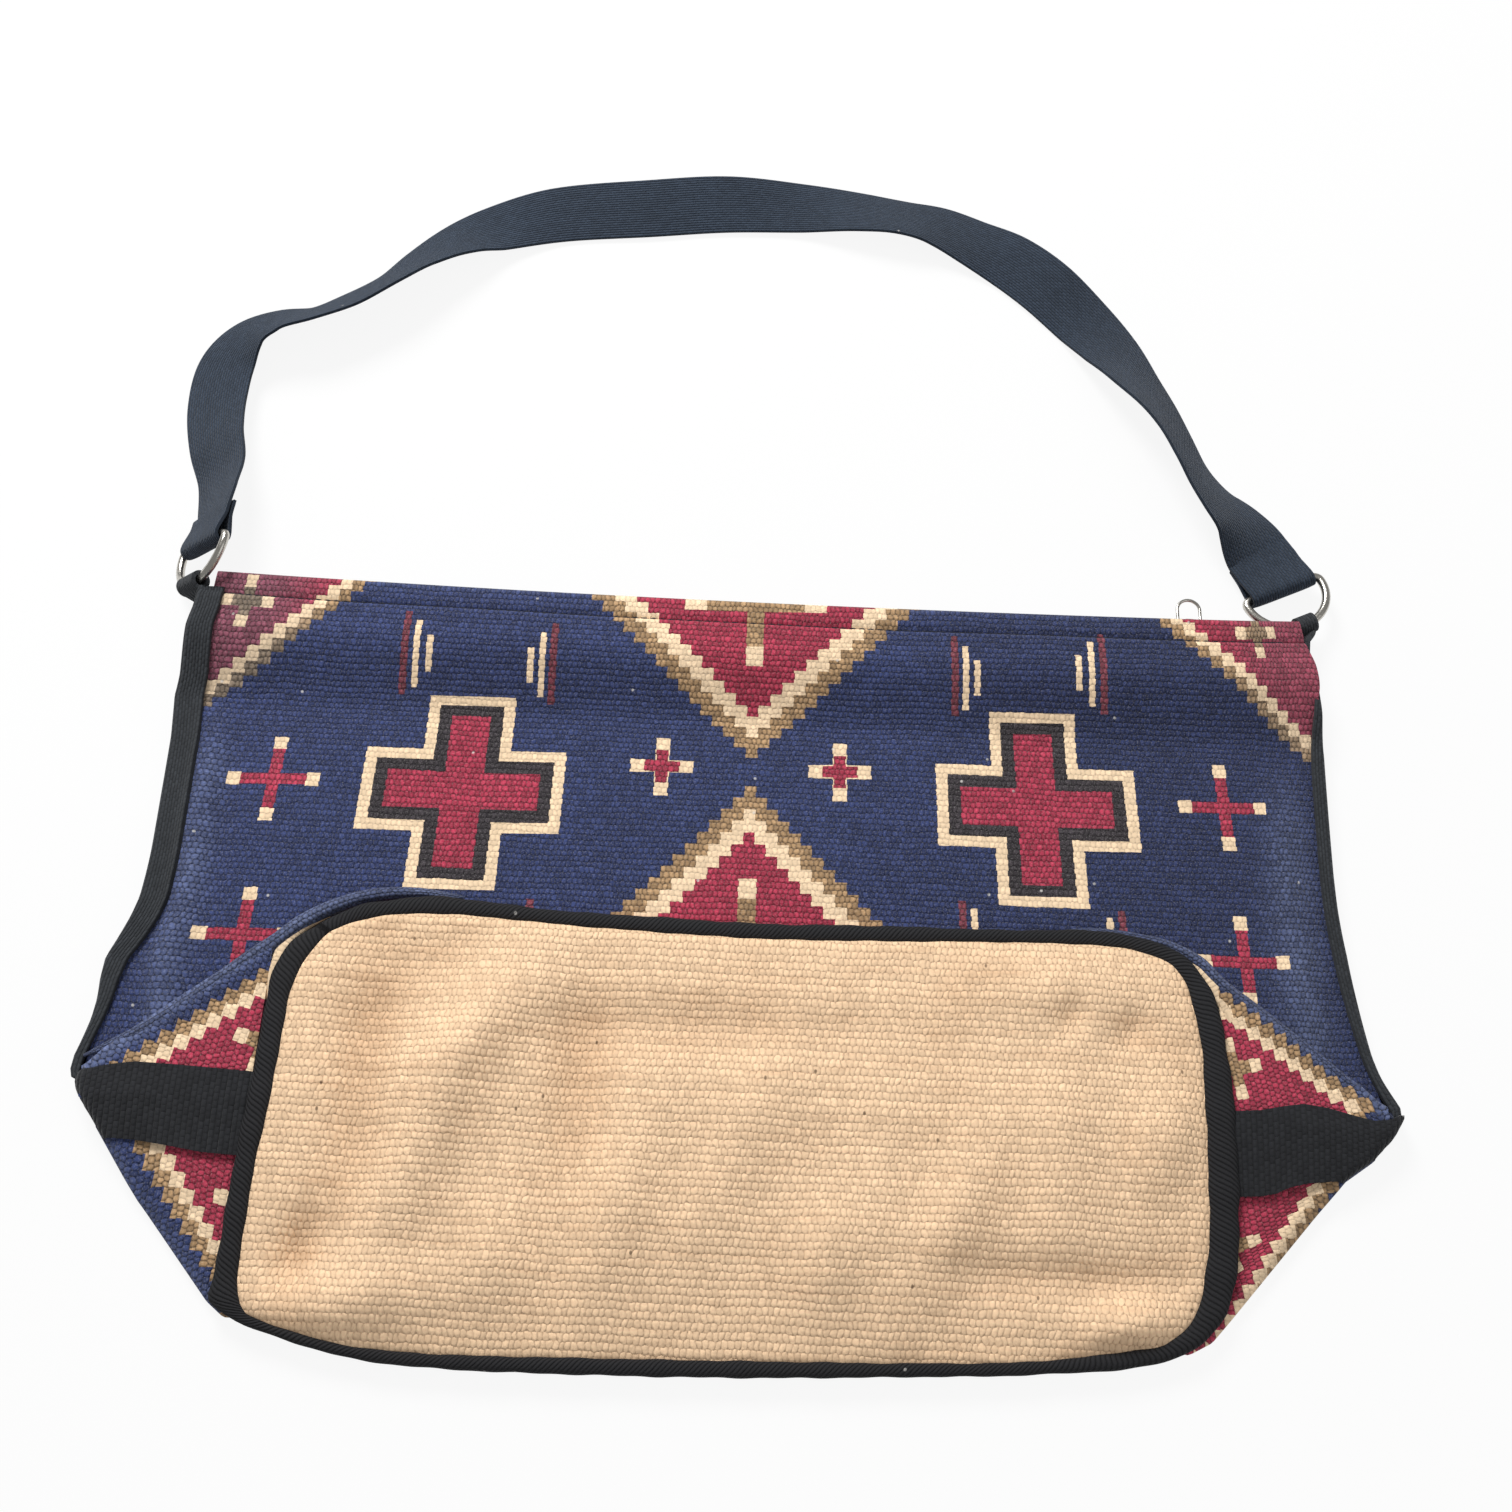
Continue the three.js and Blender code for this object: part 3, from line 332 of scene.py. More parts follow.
# The print on the gussets' lower halves: moved along and up, and turned by a share of the way down from y
LEFT_EAR_PRINT = (0.0, -7.0, 0.15)
RIGHT_EAR_PRINT = (8.0, 2.6, 0.0)
EAR_PRINT_Y = -78.0
# How far in under the base those halves reach: distance from the middle
LEFT_EAR_END = 173.8
RIGHT_EAR_END = 158.0
# The lower halves' outer end beyond the webbing's corner, and how far and how wide their inner end is raised
EAR_BEYOND = 16.0
EAR_END_RAISED = 5.0
EAR_END_WIDTH = 7.5
# How far the print on the gussets' upper halves is moved: at the base, at the left tip and at the right tip
EAR_PRINT_BASE = 8.0
LEFT_TIP_PRINT = 6.0
RIGHT_TIP_PRINT = 1.5

# The strap's route over the table: x, y, tilt in degrees
STRAP_ROUTE = (
    (-240, 203, 35), (-246, 221, 26), (-250, 243, 17), (-249, 264, 16), (-241, 278, 27), (-229, 285, 35),
    (-213, 289, 42), (-197, 298, 40), (-180, 311, 41), (-167, 325, 33), (-153, 338, 22), (-137, 349, 8),
    (-109, 360, -5), (-63, 366, -10), (-25, 371, -9), (12, 372, 3), (42, 368, 16), (60, 365, 20),
    (76, 362, 14), (93, 355, 6), (110, 345, -6), (127, 330, -8), (145, 311, 0), (156, 294, 11),
    (165, 277, 26), (174, 261, 37), (181, 246, 44), (187, 231, 46), (192, 221, 42), (199, 210, 34),
    (207, 201, 20),
)

# A ring's place: the bow's middle, the way from bar to bow, the bar's own direction, the strap's tilt there
RingPlace = namedtuple("RingPlace", "eye depth along tilt")
LEFT_RING = RingPlace((-240.4, 144.0, 14.815), (-0.0802, -0.9968, 0.0), (0.7170, -0.0577, 0.6947), 44)
RIGHT_RING = RingPlace((231.5, 152.6, 8.9), (0.4095, -0.9069, 0.0993), (-0.9094, -0.4146, -0.0347), -2)
RING_REACH = 20.0
RING_HALF = 17.8
RING_CORNER = 3.0
# Inner radius and thickness of the webbing's eye round a ring
EYE_RADIUS = 2.4
EYE_WALL = 1.8
# Half the width of each eye
LEFT_EYE = 6.5
RIGHT_EYE = 4.0
# Neck from that eye back to the side webbing: how far below the webbing's top it ends, its width there, and
# its width at the eye as a multiple of the eye's half width
NECK_BELOW = 6.0
NECK_WIDTH = 6.0
NECK_START = 1.8

# Strap over the table: half its width, its clear height, and a lift near the right ring with its y
STRAP_HALF = 15.0
STRAP_CLEAR = 0.5
STRAP_LIFT = 2.5
STRAP_LIFT_START = (226.0, 200.0)
# How far from a ring's bar the strap leaves for its route
STRAP_LEAVES = 20.0
# Strap loop round a ring's bar: distances from the bar, and half the loop's height there
LOOP_OUT = (2.0, 4.0, 9.0, 11.0, 17.0)
LOOP_HALF = (2.85, 2.4, 1.25, 1.05, 1.05)
LOOP_TURN = 3.0

# Zip pull: length and width, and the place of its lug
PULL_SIZE = 11.0
PULL_PLACE = (182.0, 150.8)

# Edges that turn by more than this stay crisp, in degrees
SHARP_DEG = 50.0

# Where a bend of each half of the strap with its ring would stop, in metres
LEFT_BEND_END = (-0.246, 0.290, 0.010)
RIGHT_BEND_END = (0.198, 0.211, 0.009)
# Stitches along the hem: half the row's length, and a stitch's share of the distance to the next
STITCHED_HALF = 228.0
STITCH_SHARE = 0.97

# Floor in metres: half its width and its height; the share of plain white that the camera sees on it
FLOOR_HALF = 6.0
FLOOR_Z = -0.0004
FLOOR_WHITE = 0.9
SURROUND = 0.29
# Lights: name, place in metres, size, watts
LIGHTS = (("key", (-0.55, 1.2, 1.15), 0.7, 26.5), ("fill", (1.1, -0.4, 1.3), 1.4, 3.6))
LIGHTS_AIM = (0.0, 0.06, 0.0)
# Camera: place in metres, lean from straight down and roll in degrees, lens and sensor in millimetres
CAMERA_PLACE = (0.0, -0.177, 0.611)
CAMERA_LEAN = 23.1
CAMERA_ROLL = 2.7
CAMERA_LENS = 38.095
CAMERA_SENSOR = 36.0

# A piece of surface: points, four-sided faces, cloth coordinates, wear with painted shading
Shape = namedtuple("Shape", "points faces cloth wear")


def shade(red, green, blue):
    """A colour written in 0 to 255 as seen on a screen, turned into the linear values that a shader takes."""
    parts = np.array([red, green, blue]) / 255.0
    linear = np.where(parts <= 0.04045, parts / 12.92, ((parts + 0.055) / 1.055) ** 2.4)
    return tuple(float(v) for v in linear)


def colour_property(name, description, values):
    """A colour that a user may change."""
    return bpy.props.FloatVectorProperty(
        name=name, description=description, subtype="COLOR", size=3, min=0.0, max=1.0, default=shade(*values),
    )


def length_property(name, description, value):
    """A length in metres that a user may change."""
    return bpy.props.FloatProperty(
        name=name, description=description, default=value, min=0.0, unit="LENGTH", precision=4,
    )


class BagSizes(bpy.types.PropertyGroup):
    """Sizes of the bag's materials."""

    cloth: length_property("Cloth", "Thickness of the printed and the natural cloth", 0.002)
    webbing: length_property("Webbing", "Thickness of the webbing", 0.0018)
    webbing_width: length_property("Webbing width", "Width of the strap's webbing", 0.03)
    ring_wire: length_property("Ring wire", "Thickness of the rings' wire", 0.0036)
    pull_wire: length_property("Pull wire", "Thickness of the zip pull's wire", 0.0014)
    row: length_property("Printed rows", "Distance from one rib of the printed weave to the next", 0.0024)
    bump: length_property("Printed bumps", "Width of one bump along a rib of the printed weave", 0.0021)
    base_row: length_property("Natural rows", "Distance from one rib of the base to the next", 0.00285)
    base_bump: length_property("Natural bumps", "Width of one bump along a rib of the base's weave", 0.00225)
    stitch: length_property("Stitch", "Distance from one stitch to the next", 0.0038)
    thread: length_property("Thread", "Thickness of the sewing thread", 0.0006)


class BagColours(bpy.types.PropertyGroup):
    """Colours of the bag's materials."""

    navy: colour_property("Navy", "Ground of the print", (49, 60, 101))
    # Faded navy also paints the highlight on the side ridges and on top of the rolls
    faded_and_highlit: colour_property("Faded navy", "Ground of the print where it is rubbed", (112, 124, 160))
    # Tints the print grey-blue in the two corners of the mouth, less on the cream and not on the ground
    mouth_corner_tint: colour_property("Soiled", "Dust over the print in the corners of the mouth", (68, 88, 100))
    burgundy: colour_property("Burgundy", "Crosses and the inside of the diamonds", (167, 53, 76))
    cream: colour_property("Cream", "Outlines and bars of the print", (254, 224, 186))
    olive: colour_property("Olive", "Outer band of the diamonds", (168, 136, 100))
    ink: colour_property("Ink", "Dark outline of the large crosses", (56, 51, 55))
    rust: colour_property("Rust", "Thin dark red bars", (120, 58, 70))
    natural: colour_property("Natural", "Cloth of the base", (253, 217, 178))
    speck: colour_property("Speck", "Dark specks in the base's cloth", (92, 70, 52))
    tan: colour_property("Tan", "Streaks and shading in the base's cloth", (202, 160, 122))
    webbing: colour_property("Webbing", "Strap and side webbing", (49, 59, 73))
    edge: colour_property("Edge", "Webbing over the side seams", (54, 57, 61))
    band: colour_property("Band", "Webbing across the gussets", (42, 43, 46))
    twill: colour_property("Twill", "Binding round the base", (43, 43, 45))
    thread: colour_property("Thread", "Sewing thread", (34, 36, 46))
    nickel: colour_property("Nickel", "Rings and zip slider", (204, 200, 192))
    zip_cloth: colour_property("Zip tape", "Cloth of the zip", (38, 42, 54))
    zip_tooth: colour_property("Zip teeth", "Plastic of the zip's teeth", (52, 54, 58))
    # The lint colour also paints the sheen of the printed cloth's fuzz
    lint: colour_property("Lint", "Pale fibres caught on the cloth", (236, 232, 226))
    floor: colour_property("Floor", "Table under the bag", (246, 246, 246))


# Small helpers


def part(start, end, value):
    """How far a value has come from start to end, kept from 0 to 1."""
    return np.clip((value - start) / (end - start), 0.0, 1.0)


def ease(start, end, value):
    """The same with a soft start and end: 3t^2 - 2t^3."""
    t = part(start, end, value)
    return t * t * (3.0 - 2.0 * t)


def mix(a, b, t):
    """a at t = 0, b at t = 1, straight between them."""
    return a + (b - a) * t


def hump(value, middle, spread):
    """A soft bell, 1 at its middle and 1/e at one spread to either side."""
    return np.exp(-(((value - middle) / spread) ** 2))


def bell(value, height, middle, spread):
    """The same bell with a height of its own."""
    return height * hump(value, middle, spread)


def puffed(from_fold, height, middle, spread, full):
    """A puff of cloth on one side of a fold: nothing up to the fold, then a bell."""
    return bell(from_fold, height, middle, spread) * part(0.0, full, from_fold)


def unit(vectors):
    """Vectors made one long."""
    return vectors / np.maximum(np.linalg.norm(vectors, axis=-1, keepdims=True), 1e-9)


def arc(start, end, count):
    """Angles between two ends given in degrees."""
    return np.radians(np.linspace(start, end, count))


def full_turn(count):
    """Angles evenly spaced round a full turn."""
    return np.linspace(0.0, 2.0 * np.pi, count + 1)[:-1]


def stacked(*parts):
    """Arrays spread to one shape and stacked as the coordinates of points."""
    return np.stack(np.broadcast_arrays(*parts), axis=-1)


def columns_of(table):
    """A table of places as one array for each of its columns."""
    return np.array(table, dtype=float).T


def along_path(points):
    """Length along a path at each of its points."""
    return np.concatenate([[0.0], np.cumsum(np.linalg.norm(np.diff(points, axis=0), axis=1))])


def along_rows(a, b):
    """Length along each row of a grid at each of its points."""
    step = np.hypot(np.diff(a, axis=1), np.diff(b, axis=1))
    return np.concatenate([np.zeros_like(step[:, :1]), np.cumsum(step, axis=1)], axis=1)


def laid_askew(points):
    """The folded base lies a little askew: y shifts with x, more and more towards the base's back edge."""
    share = part(BASE_FRONT_Y, BASE_BACK_Y, points[..., 1])
    moved = points.copy()
    moved[..., 1] += LAY_SKEW * points[..., 0] * share
    return moved


def as_it_lies(points):
    """Cloth as it lies: askew with the base, side edges drawn in by their tables, lower edge on its own line.

    Each move is full at the edge and fades away inside the cloth.
    """
    moved = laid_askew(points)
    x, y = points[..., 0], points[..., 1]
    half = side_half(np.maximum(y, TIP_Y))
    left, right = (np.interp(moved[..., 1], *columns_of(table)) for table in (LEFT_DRAWN_IN, RIGHT_DRAWN_IN))
    inward = np.where(x < 0.0, left, right)
    moved[..., 0] -= np.sign(x) * inward * ease(half - SIDE_FADE[0], half - SIDE_FADE[1], np.abs(x))
    inset = LOWER_FOLD_INSET * ease(*TIP_FADE, np.abs(x))
    edge = np.maximum(BASE_BACK_Y, TIP_Y - (TIP_HALF - inset - np.abs(x)) / BACK_SLOPE)
    lying = edge + LAY_SKEW * x * part(BASE_FRONT_Y, BASE_BACK_Y, edge)
    near = ease(edge + LOWER_FADE[0], edge + LOWER_FADE[1], y)
    moved[..., 1] += (np.interp(x, *columns_of(LOWER_EDGE)) - lying) * near
    return moved


# Outlines in plan and heights of the layers


def side_half(y):
    """Half width of the bag: a slight flare to the mouth, a curve to the tips, then slanting lower folds."""
    flare = (MOUTH_HALF - WAIST_HALF) * part(WAIST_Y, MOUTH_Y, y) ** 2
    tip = (TIP_HALF - WAIST_HALF) * part(WAIST_Y, TIP_Y, y) ** TIP_CURVE
    return WAIST_HALF + flare + tip - BACK_SLOPE * np.maximum(TIP_Y - y, 0.0)


def panel_inset(y):
    """Room between the webbing's outer face and the cloth inside it."""
    at_mouth = MOUTH_INSET * ease(MOUTH_INSET_Y, WRAP_TOP_Y, y)
    at_tip = TIP_INSET * ease(TIP_Y + 20.0, TIP_Y + 4.0, y)
    return PANEL_INSET + at_mouth + at_tip


def front_half(y):
    """Half width of the front cloth."""
    return side_half(y) - panel_inset(y)


def fold_half(y):
    """Half width of the flap back up under the base: slanting to the tips, rounded at the base's corners."""
    slanted = EAR_INNER_X + FRONT_SLOPE * (FRONT_CORNER_Y - y)
    rounded = EAR_INNER_X - FLAP_CORNER * part(FRONT_CORNER_Y, BASE_FRONT_Y, y) ** 2
    return np.minimum(np.where(y < FRONT_CORNER_Y, slanted, rounded), TIP_HALF - FLAP_TIP_ROOM)


def back_half(y):
    """Half width of the back cloth."""
    room = mix(PANEL_INSET + TIP_INSET, LOWER_FOLD_INSET, part(TIP_Y, BAND_END_Y - 7.0, y))
    corner = BACK_CORNER * part(BACK_CORNER_Y, BASE_BACK_Y, y) ** 2
    return np.where(y > TIP_Y, front_half(y), side_half(y) - room - corner)


def back_fold_y(x):
    """Where the lower fold of a gusset lies at a given half width."""
    return TIP_Y - (TIP_HALF - LOWER_FOLD_INSET - x) / BACK_SLOPE


def front_z(y):
    """Height of the front cloth: level, with a soft step up to the hem."""
    return mix(FRONT_Z, FRONT_LIP_Z, ease(DROP_END_Y, HEM_END_Y, y))


def back_z(x, y):
    """Height of the back cloth: on the table, and over the webbing's under edge at the sides."""
    near_edge = ease(*OVER_EDGE, side_half(y) - np.abs(x))
    raised = OVER_EDGE_RISE * near_edge * ease(HEM_END_Y, UNDER_WRAP_Y, y)
    return BACK_Z + raised * ease(UNDER_BAND_Y, BAND_END_Y, y)


def ear_z(x, y):
    """Height of a gusset's upper face: level at the tip, falling to the lower fold."""
    fold = back_fold_y(np.abs(x))
    return mix(EAR_Z, back_z(x, fold) + LAYER, part(EAR_SPLIT_Y, fold, y))


def binding_z(y):
    """Height of the binding's middle: it falls from the base's front to its back."""
    return mix(BINDING_FRONT_Z, BINDING_BACK_Z, part(EAR_SPLIT_Y, BASE_BACK_Y + BINDING_WIDTH, y))


# Surfaces


def grid_normals(grid):
    """Normals of a grid of points, from its rows' and columns' directions."""
    return unit(np.cross(np.gradient(grid, axis=0), np.gradient(grid, axis=1)))


def grid_faces(index):
    """Four-sided faces of a grid of point numbers; they face along rows x columns."""
    return np.stack([index[:-1, :-1], index[1:, :-1], index[1:, 1:], index[:-1, 1:]], axis=-1).reshape(-1, 4)


def thick_sheet(grid, thickness, cloth, wear=0.0):
    """A closed sheet: the grid's points moved half a thickness to each side, walled all round."""
    rows, columns = grid.shape[:2]
    count = rows * columns
    reach = grid_normals(grid) * (np.asarray(thickness) * 0.5)[..., None]
    points = np.concatenate([(grid + reach).reshape(-1, 3), (grid - reach).reshape(-1, 3)])
    index = np.arange(count).reshape(rows, columns)
    faces = grid_faces(index)
    rim = np.concatenate([index[:-1, 0], index[-1, :-1], index[:0:-1, -1], index[0, :0:-1]])
    onward = np.roll(rim, -1)
    wall = np.stack([onward, rim, rim + count, onward + count], axis=-1)
    faces = np.concatenate([faces, faces[:, ::-1] + count, wall])
    flat, worn_and_shaded = point_values(cloth, wear, rows, columns)
    return Shape(points, faces, np.tile(flat, (2, 1)), np.tile(worn_and_shaded, 2))


def point_values(cloth, wear, rows, columns):
    """Cloth coordinates and wear with painted shading spread over a grid's points, one row each."""
    flat = np.broadcast_to(cloth, (rows, columns, 2)).reshape(-1, 2)
    worn_and_shaded = np.broadcast_to(np.asarray(wear, dtype=float), (rows, columns)).reshape(-1)
    return flat, worn_and_shaded


def swept(rings, cloth, wear=0.0, closed=True):
    """A closed tube through rings of points; the ends are closed by strips if the path is open."""
    rows, columns = rings.shape[:2]
    index = np.arange(rows * columns).reshape(rows, columns)
    index = np.concatenate([index, index[:, :1]], axis=1)
    if closed:
        index = np.concatenate([index, index[:1]], axis=0)
    faces = grid_faces(index)
    if not closed:
        near = np.arange(columns // 2 - 1)
        far = columns - 1 - near
        first = np.stack([near, near + 1, far - 1, far], axis=-1)
        faces = np.concatenate([faces, first, first[:, ::-1] + (rows - 1) * columns])
    return Shape(rings.reshape(-1, 3), faces, *point_values(cloth, wear, rows, columns))


def facing_out(shape):
    """The same closed shape with its faces outward: they are turned where the volume comes out negative."""
    corners = shape.points[shape.faces]
    middle = corners.mean(axis=1)
    normal = np.cross(corners[:, 2] - corners[:, 0], corners[:, 3] - corners[:, 1])
    inside_out = float(np.sum(middle * normal)) < 0.0
    return shape._replace(faces=shape.faces[:, ::-1]) if inside_out else shape


def make_piece(name, shapes, material, body="bag", stands_for=()):
    """One object from closed shapes, in metres: cloth coordinates as UV map, wear with painted shading as
    attribute.
    """
    shapes = [facing_out(shape) for shape in shapes]
    starts = np.cumsum([0] + [len(shape.points) for shape in shapes[:-1]])
    points = np.concatenate([shape.points for shape in shapes]) * MM
    faces = np.concatenate([shape.faces + start for shape, start in zip(shapes, starts)])
    cloth = np.concatenate([shape.cloth for shape in shapes]) * MM
    wear = np.concatenate([shape.wear for shape in shapes])
    mesh = bpy.data.meshes.new(name)
    mesh.from_pydata(points.tolist(), [], faces.tolist())
    mesh.polygons.foreach_set("use_smooth", np.ones(len(faces), dtype=bool))
    corners = cloth[faces.reshape(-1)].astype(np.float32)
    mesh.uv_layers.new(name="cloth").data.foreach_set("uv", corners.ravel())
    mesh.attributes.new("wear", "FLOAT", "POINT").data.foreach_set("value", wear.astype(np.float32))
    mesh.set_sharp_from_angle(angle=math.radians(SHARP_DEG))
    mesh.materials.append(finish_named(material))
    mesh.update()
    piece = bpy.data.objects.new(name, mesh)
    bpy.context.scene.collection.objects.link(piece)
    if body:
        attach(piece, body)
    if stands_for:
        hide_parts(*stands_for)
    return piece


def surface_area(piece):
    """Area of one face of a sheet in square metres, half of its mesh."""
    areas = np.zeros(len(piece.data.polygons), dtype=np.float32)
    piece.data.polygons.foreach_get("area", areas)
    return round(float(areas.sum()) / 2, 4)


# Printed cloth


def front_relief(x, y):
    """Height that the lying cloth adds: ridges beside the webbing, slow waves, and the hem's groove."""
    waves = 0.45 * np.sin(x / 34.0 + 0.8) * np.sin(y / 27.0 + 0.4) + 0.3 * np.sin(x / 19.0 - y / 31.0)
    half = side_half(y)
    inside = ease(half - WAVES_EDGE[0], half - WAVES_EDGE[1], np.abs(x))
    open_face = ease(*WAVES_START, y) * ease(*WAVES_END, y) * inside
    groove = -GROOVE_DEPTH * hump(y, HEM_STITCH_Y, 1.2)
    return side_bells(RIDGES, x, y) * ease(*RIDGES_START, y) + waves * open_face + groove


def side_bells(table, x, y):
    """Soft bells along the side edges, each starting and growing full at its own heights."""
    return sum(
        rise * hump(x, middle, width) * ease(start, full, y) for middle, width, rise, start, full in table
    )


def mouth_sag(x, y):
    """The mouth's edge sags a little between its ends."""
    return -MOUTH_SAG * (1.0 - (x / SAG_HALF) ** 2) * ease(*SAG_START, y)


def front_wear_and_highlight(x, y):
    """Where the front cloth is rubbed pale: along the side ridges, where it is also a painted highlight on
    their crests, and a little along the mouth.
    """
    return side_bells(RUBBED_AND_HIGHLIT, x, y) + MOUTH_WEAR * ease(MOUTH_WEAR_Y, MOUTH_Y, y)


def hem_profile(inner_z, outer_z):
    """y, z and print height along a hem: up the inner layer, round the mouth's edge, down the outer layer."""
    fold_y = MOUTH_Y - 1.0 - FOLD_RADIUS
    turn = arc(-90.0, 90.0, 11) * np.sign(outer_z - inner_z)
    inner_y = np.linspace(HEM_END_Y, fold_y, HEM_INNER_ROWS + 1)[:-1]
    outer_y = np.linspace(fold_y, HEM_END_Y, 27)[1:-1]
    round_z = (inner_z + outer_z) / 2.0 + FOLD_RADIUS * np.sin(turn)
    round_v = np.linspace(2.0 * MOUTH_Y - fold_y, fold_y, len(turn))
    y = np.concatenate([inner_y, fold_y + FOLD_RADIUS * np.cos(turn), outer_y])
    z = np.concatenate([np.full_like(inner_y, inner_z), round_z, np.full_like(outer_y, outer_z)])
    v = np.concatenate([2.0 * MOUTH_Y - inner_y, round_v, outer_y])
    return y, z, v


def across_shares(count):
    """Shares of the half width from -1 to 1, closer together at the edges."""
    reach = math.pi / 3.0
    return np.sin(np.linspace(-reach, reach, count)) / math.sin(reach)


def front_sheet(thickness):
    """Front cloth: hem, slope, face, the crease under the base, and the flap back up to the base's front."""
    hem_y, hem_z, hem_v = hem_profile(FRONT_HEM_Z, FRONT_LIP_Z)
    crease_y = TIP_Y + FOLD_RADIUS
    slope_y = np.linspace(HEM_END_Y, DROP_END_Y, 18)
    face_y = np.concatenate([slope_y, np.linspace(DROP_END_Y, crease_y, 64)[1:-1]])
    turn = arc(270.0, 90.0, 9)
    flap_y = np.linspace(crease_y, BASE_FRONT_Y - CLEARANCE, 26)[1:]
    crease_z = (FRONT_Z + FLAP_Z) / 2 + FOLD_RADIUS * np.sin(turn)
    crease_v = np.linspace(crease_y, 2 * TIP_Y - crease_y, len(turn))
    y = np.concatenate([hem_y, face_y, crease_y + FOLD_RADIUS * np.cos(turn), flap_y])[:, None]
    z = np.concatenate([hem_z, front_z(face_y), crease_z, np.full_like(flap_y, FLAP_Z)])[:, None]
    v = np.concatenate([hem_v, face_y, crease_v, 2 * TIP_Y - flap_y])[:, None]
    at_tip = front_half(TIP_Y)
    shown = len(hem_y) + len(face_y)
    half = np.concatenate([
        front_half(y[:shown, 0]), np.full_like(turn, at_tip), np.minimum(fold_half(flap_y), at_tip),
    ])[:, None]
    on_face = np.zeros_like(y)
    on_face[HEM_INNER_ROWS:shown] = 1.0
    x = half * across_shares(FRONT_COLUMNS)[None, :]
    y = np.broadcast_to(y, x.shape)
    lap = panel_inset(y) - HALF_WEBBING - 2.0 * ease(HEM_END_Y, WRAP_TOP_Y, y)
    x = x + lap * ease(*RIGHT_LAP, y) * ease(half - LAP_WIDTH, half, x)
    grid = stacked(x, y + mouth_sag(x, y), z + front_relief(x, y) * on_face)
    return thick_sheet(as_it_lies(grid), thickness, stacked(x, v), front_wear_and_highlight(x, y) * on_face)


def mirrored_across(x, y, x0, y0, dx, dy):
    """Points mirrored across the line through (x0, y0) along (dx, dy): p' = 2 (d.p) d - p."""
    length = math.hypot(dx, dy)
    dx, dy = dx / length, dy / length
    along = (x - x0) * dx + (y - y0) * dy
    return x0 + 2.0 * along * dx - (x - x0), y0 + 2.0 * along * dy - (y - y0)


def upper_ear(side, thickness):
    """Upper half of a gusset: up from the flap, round the slanting fold, and down under the webbing band.

    The print runs on round the fold: each point is mirrored back across the fold's line and the crease.
    """
    x = np.linspace(EAR_INNER_X, TIP_HALF - EAR_TIP_ROOM, 50)[:, None]
    fold_y = FRONT_CORNER_Y - (x - EAR_INNER_X) / FRONT_SLOPE
    turn = arc(-90.0, 90.0, 13)[None, :]
    low_y = fold_y - np.linspace(7.0, 2.2, 4)[None, :]
    arc_y = fold_y - FOLD_RADIUS + FOLD_RADIUS * np.cos(turn)
    top_y = mix(fold_y - 2.0, EAR_SPLIT_Y + CLEARANCE, np.linspace(0.0, 1.0, 22)[None, :])
    low_z = np.full_like(low_y, FLAP_Z + LAYER_GAP)
    arc_z = (FLAP_Z + EAR_Z) / 2 + LAYER_GAP + FOLD_RADIUS * np.sin(turn)
    y = np.concatenate([low_y, arc_y, top_y], axis=1)
    z = np.concatenate([low_z, np.broadcast_to(arc_z, arc_y.shape), np.full_like(top_y, EAR_Z)], axis=1)
    x = np.broadcast_to(x, y.shape)
    length = along_rows(y, z)
    middle = low_y.shape[1] + turn.shape[1] // 2
    from_fold = length - length[:, middle, None]
    flat_y = fold_y - np.abs(from_fold)
    back_x, back_y = mirrored_across(x, flat_y, EAR_INNER_X, FRONT_CORNER_Y, FRONT_SLOPE, -1.0)
    over = from_fold > 0.0
    tip_print = LEFT_TIP_PRINT if side < 0 else RIGHT_TIP_PRINT
    shift = mix(EAR_PRINT_BASE, tip_print, part(EAR_INNER_X, EAR_OUTER_X, x))
    u = np.where(over, back_x, x)
    v = 2 * TIP_Y - np.where(over, back_y + shift, flat_y)
    puff = puffed(from_fold, *UPPER_PUFF) * ease(TIP_HALF - PUFF_FADE[0], TIP_HALF - PUFF_FADE[1], x)
    wear = bell(from_fold, *UPPER_WEAR)
    return thick_sheet(as_it_lies(stacked(side * x, y, z + puff)), thickness, stacked(side * u, v), wear)


def back_sheet(thickness):
    """Back cloth: hem, and the face that lies on the table out to the base's back seam."""
    hem_y, hem_z, hem_v = hem_profile(BACK_HEM_Z, BACK_Z)
    flat_y = np.linspace(HEM_END_Y, BASE_BACK_Y + BINDING_WIDTH / 2, 96)
    y = np.concatenate([hem_y, flat_y])[:, None]
    v = np.concatenate([hem_v, flat_y])[:, None] + BACK_PRINT_DROP
    x = back_half(y) * across_shares(BACK_COLUMNS)[None, :]
    z = back_z(x, y)
    z[:len(hem_y)] = hem_z[:, None]
    return thick_sheet(as_it_lies(stacked(x, y, z)), thickness, stacked(x, v), BACK_WEAR)


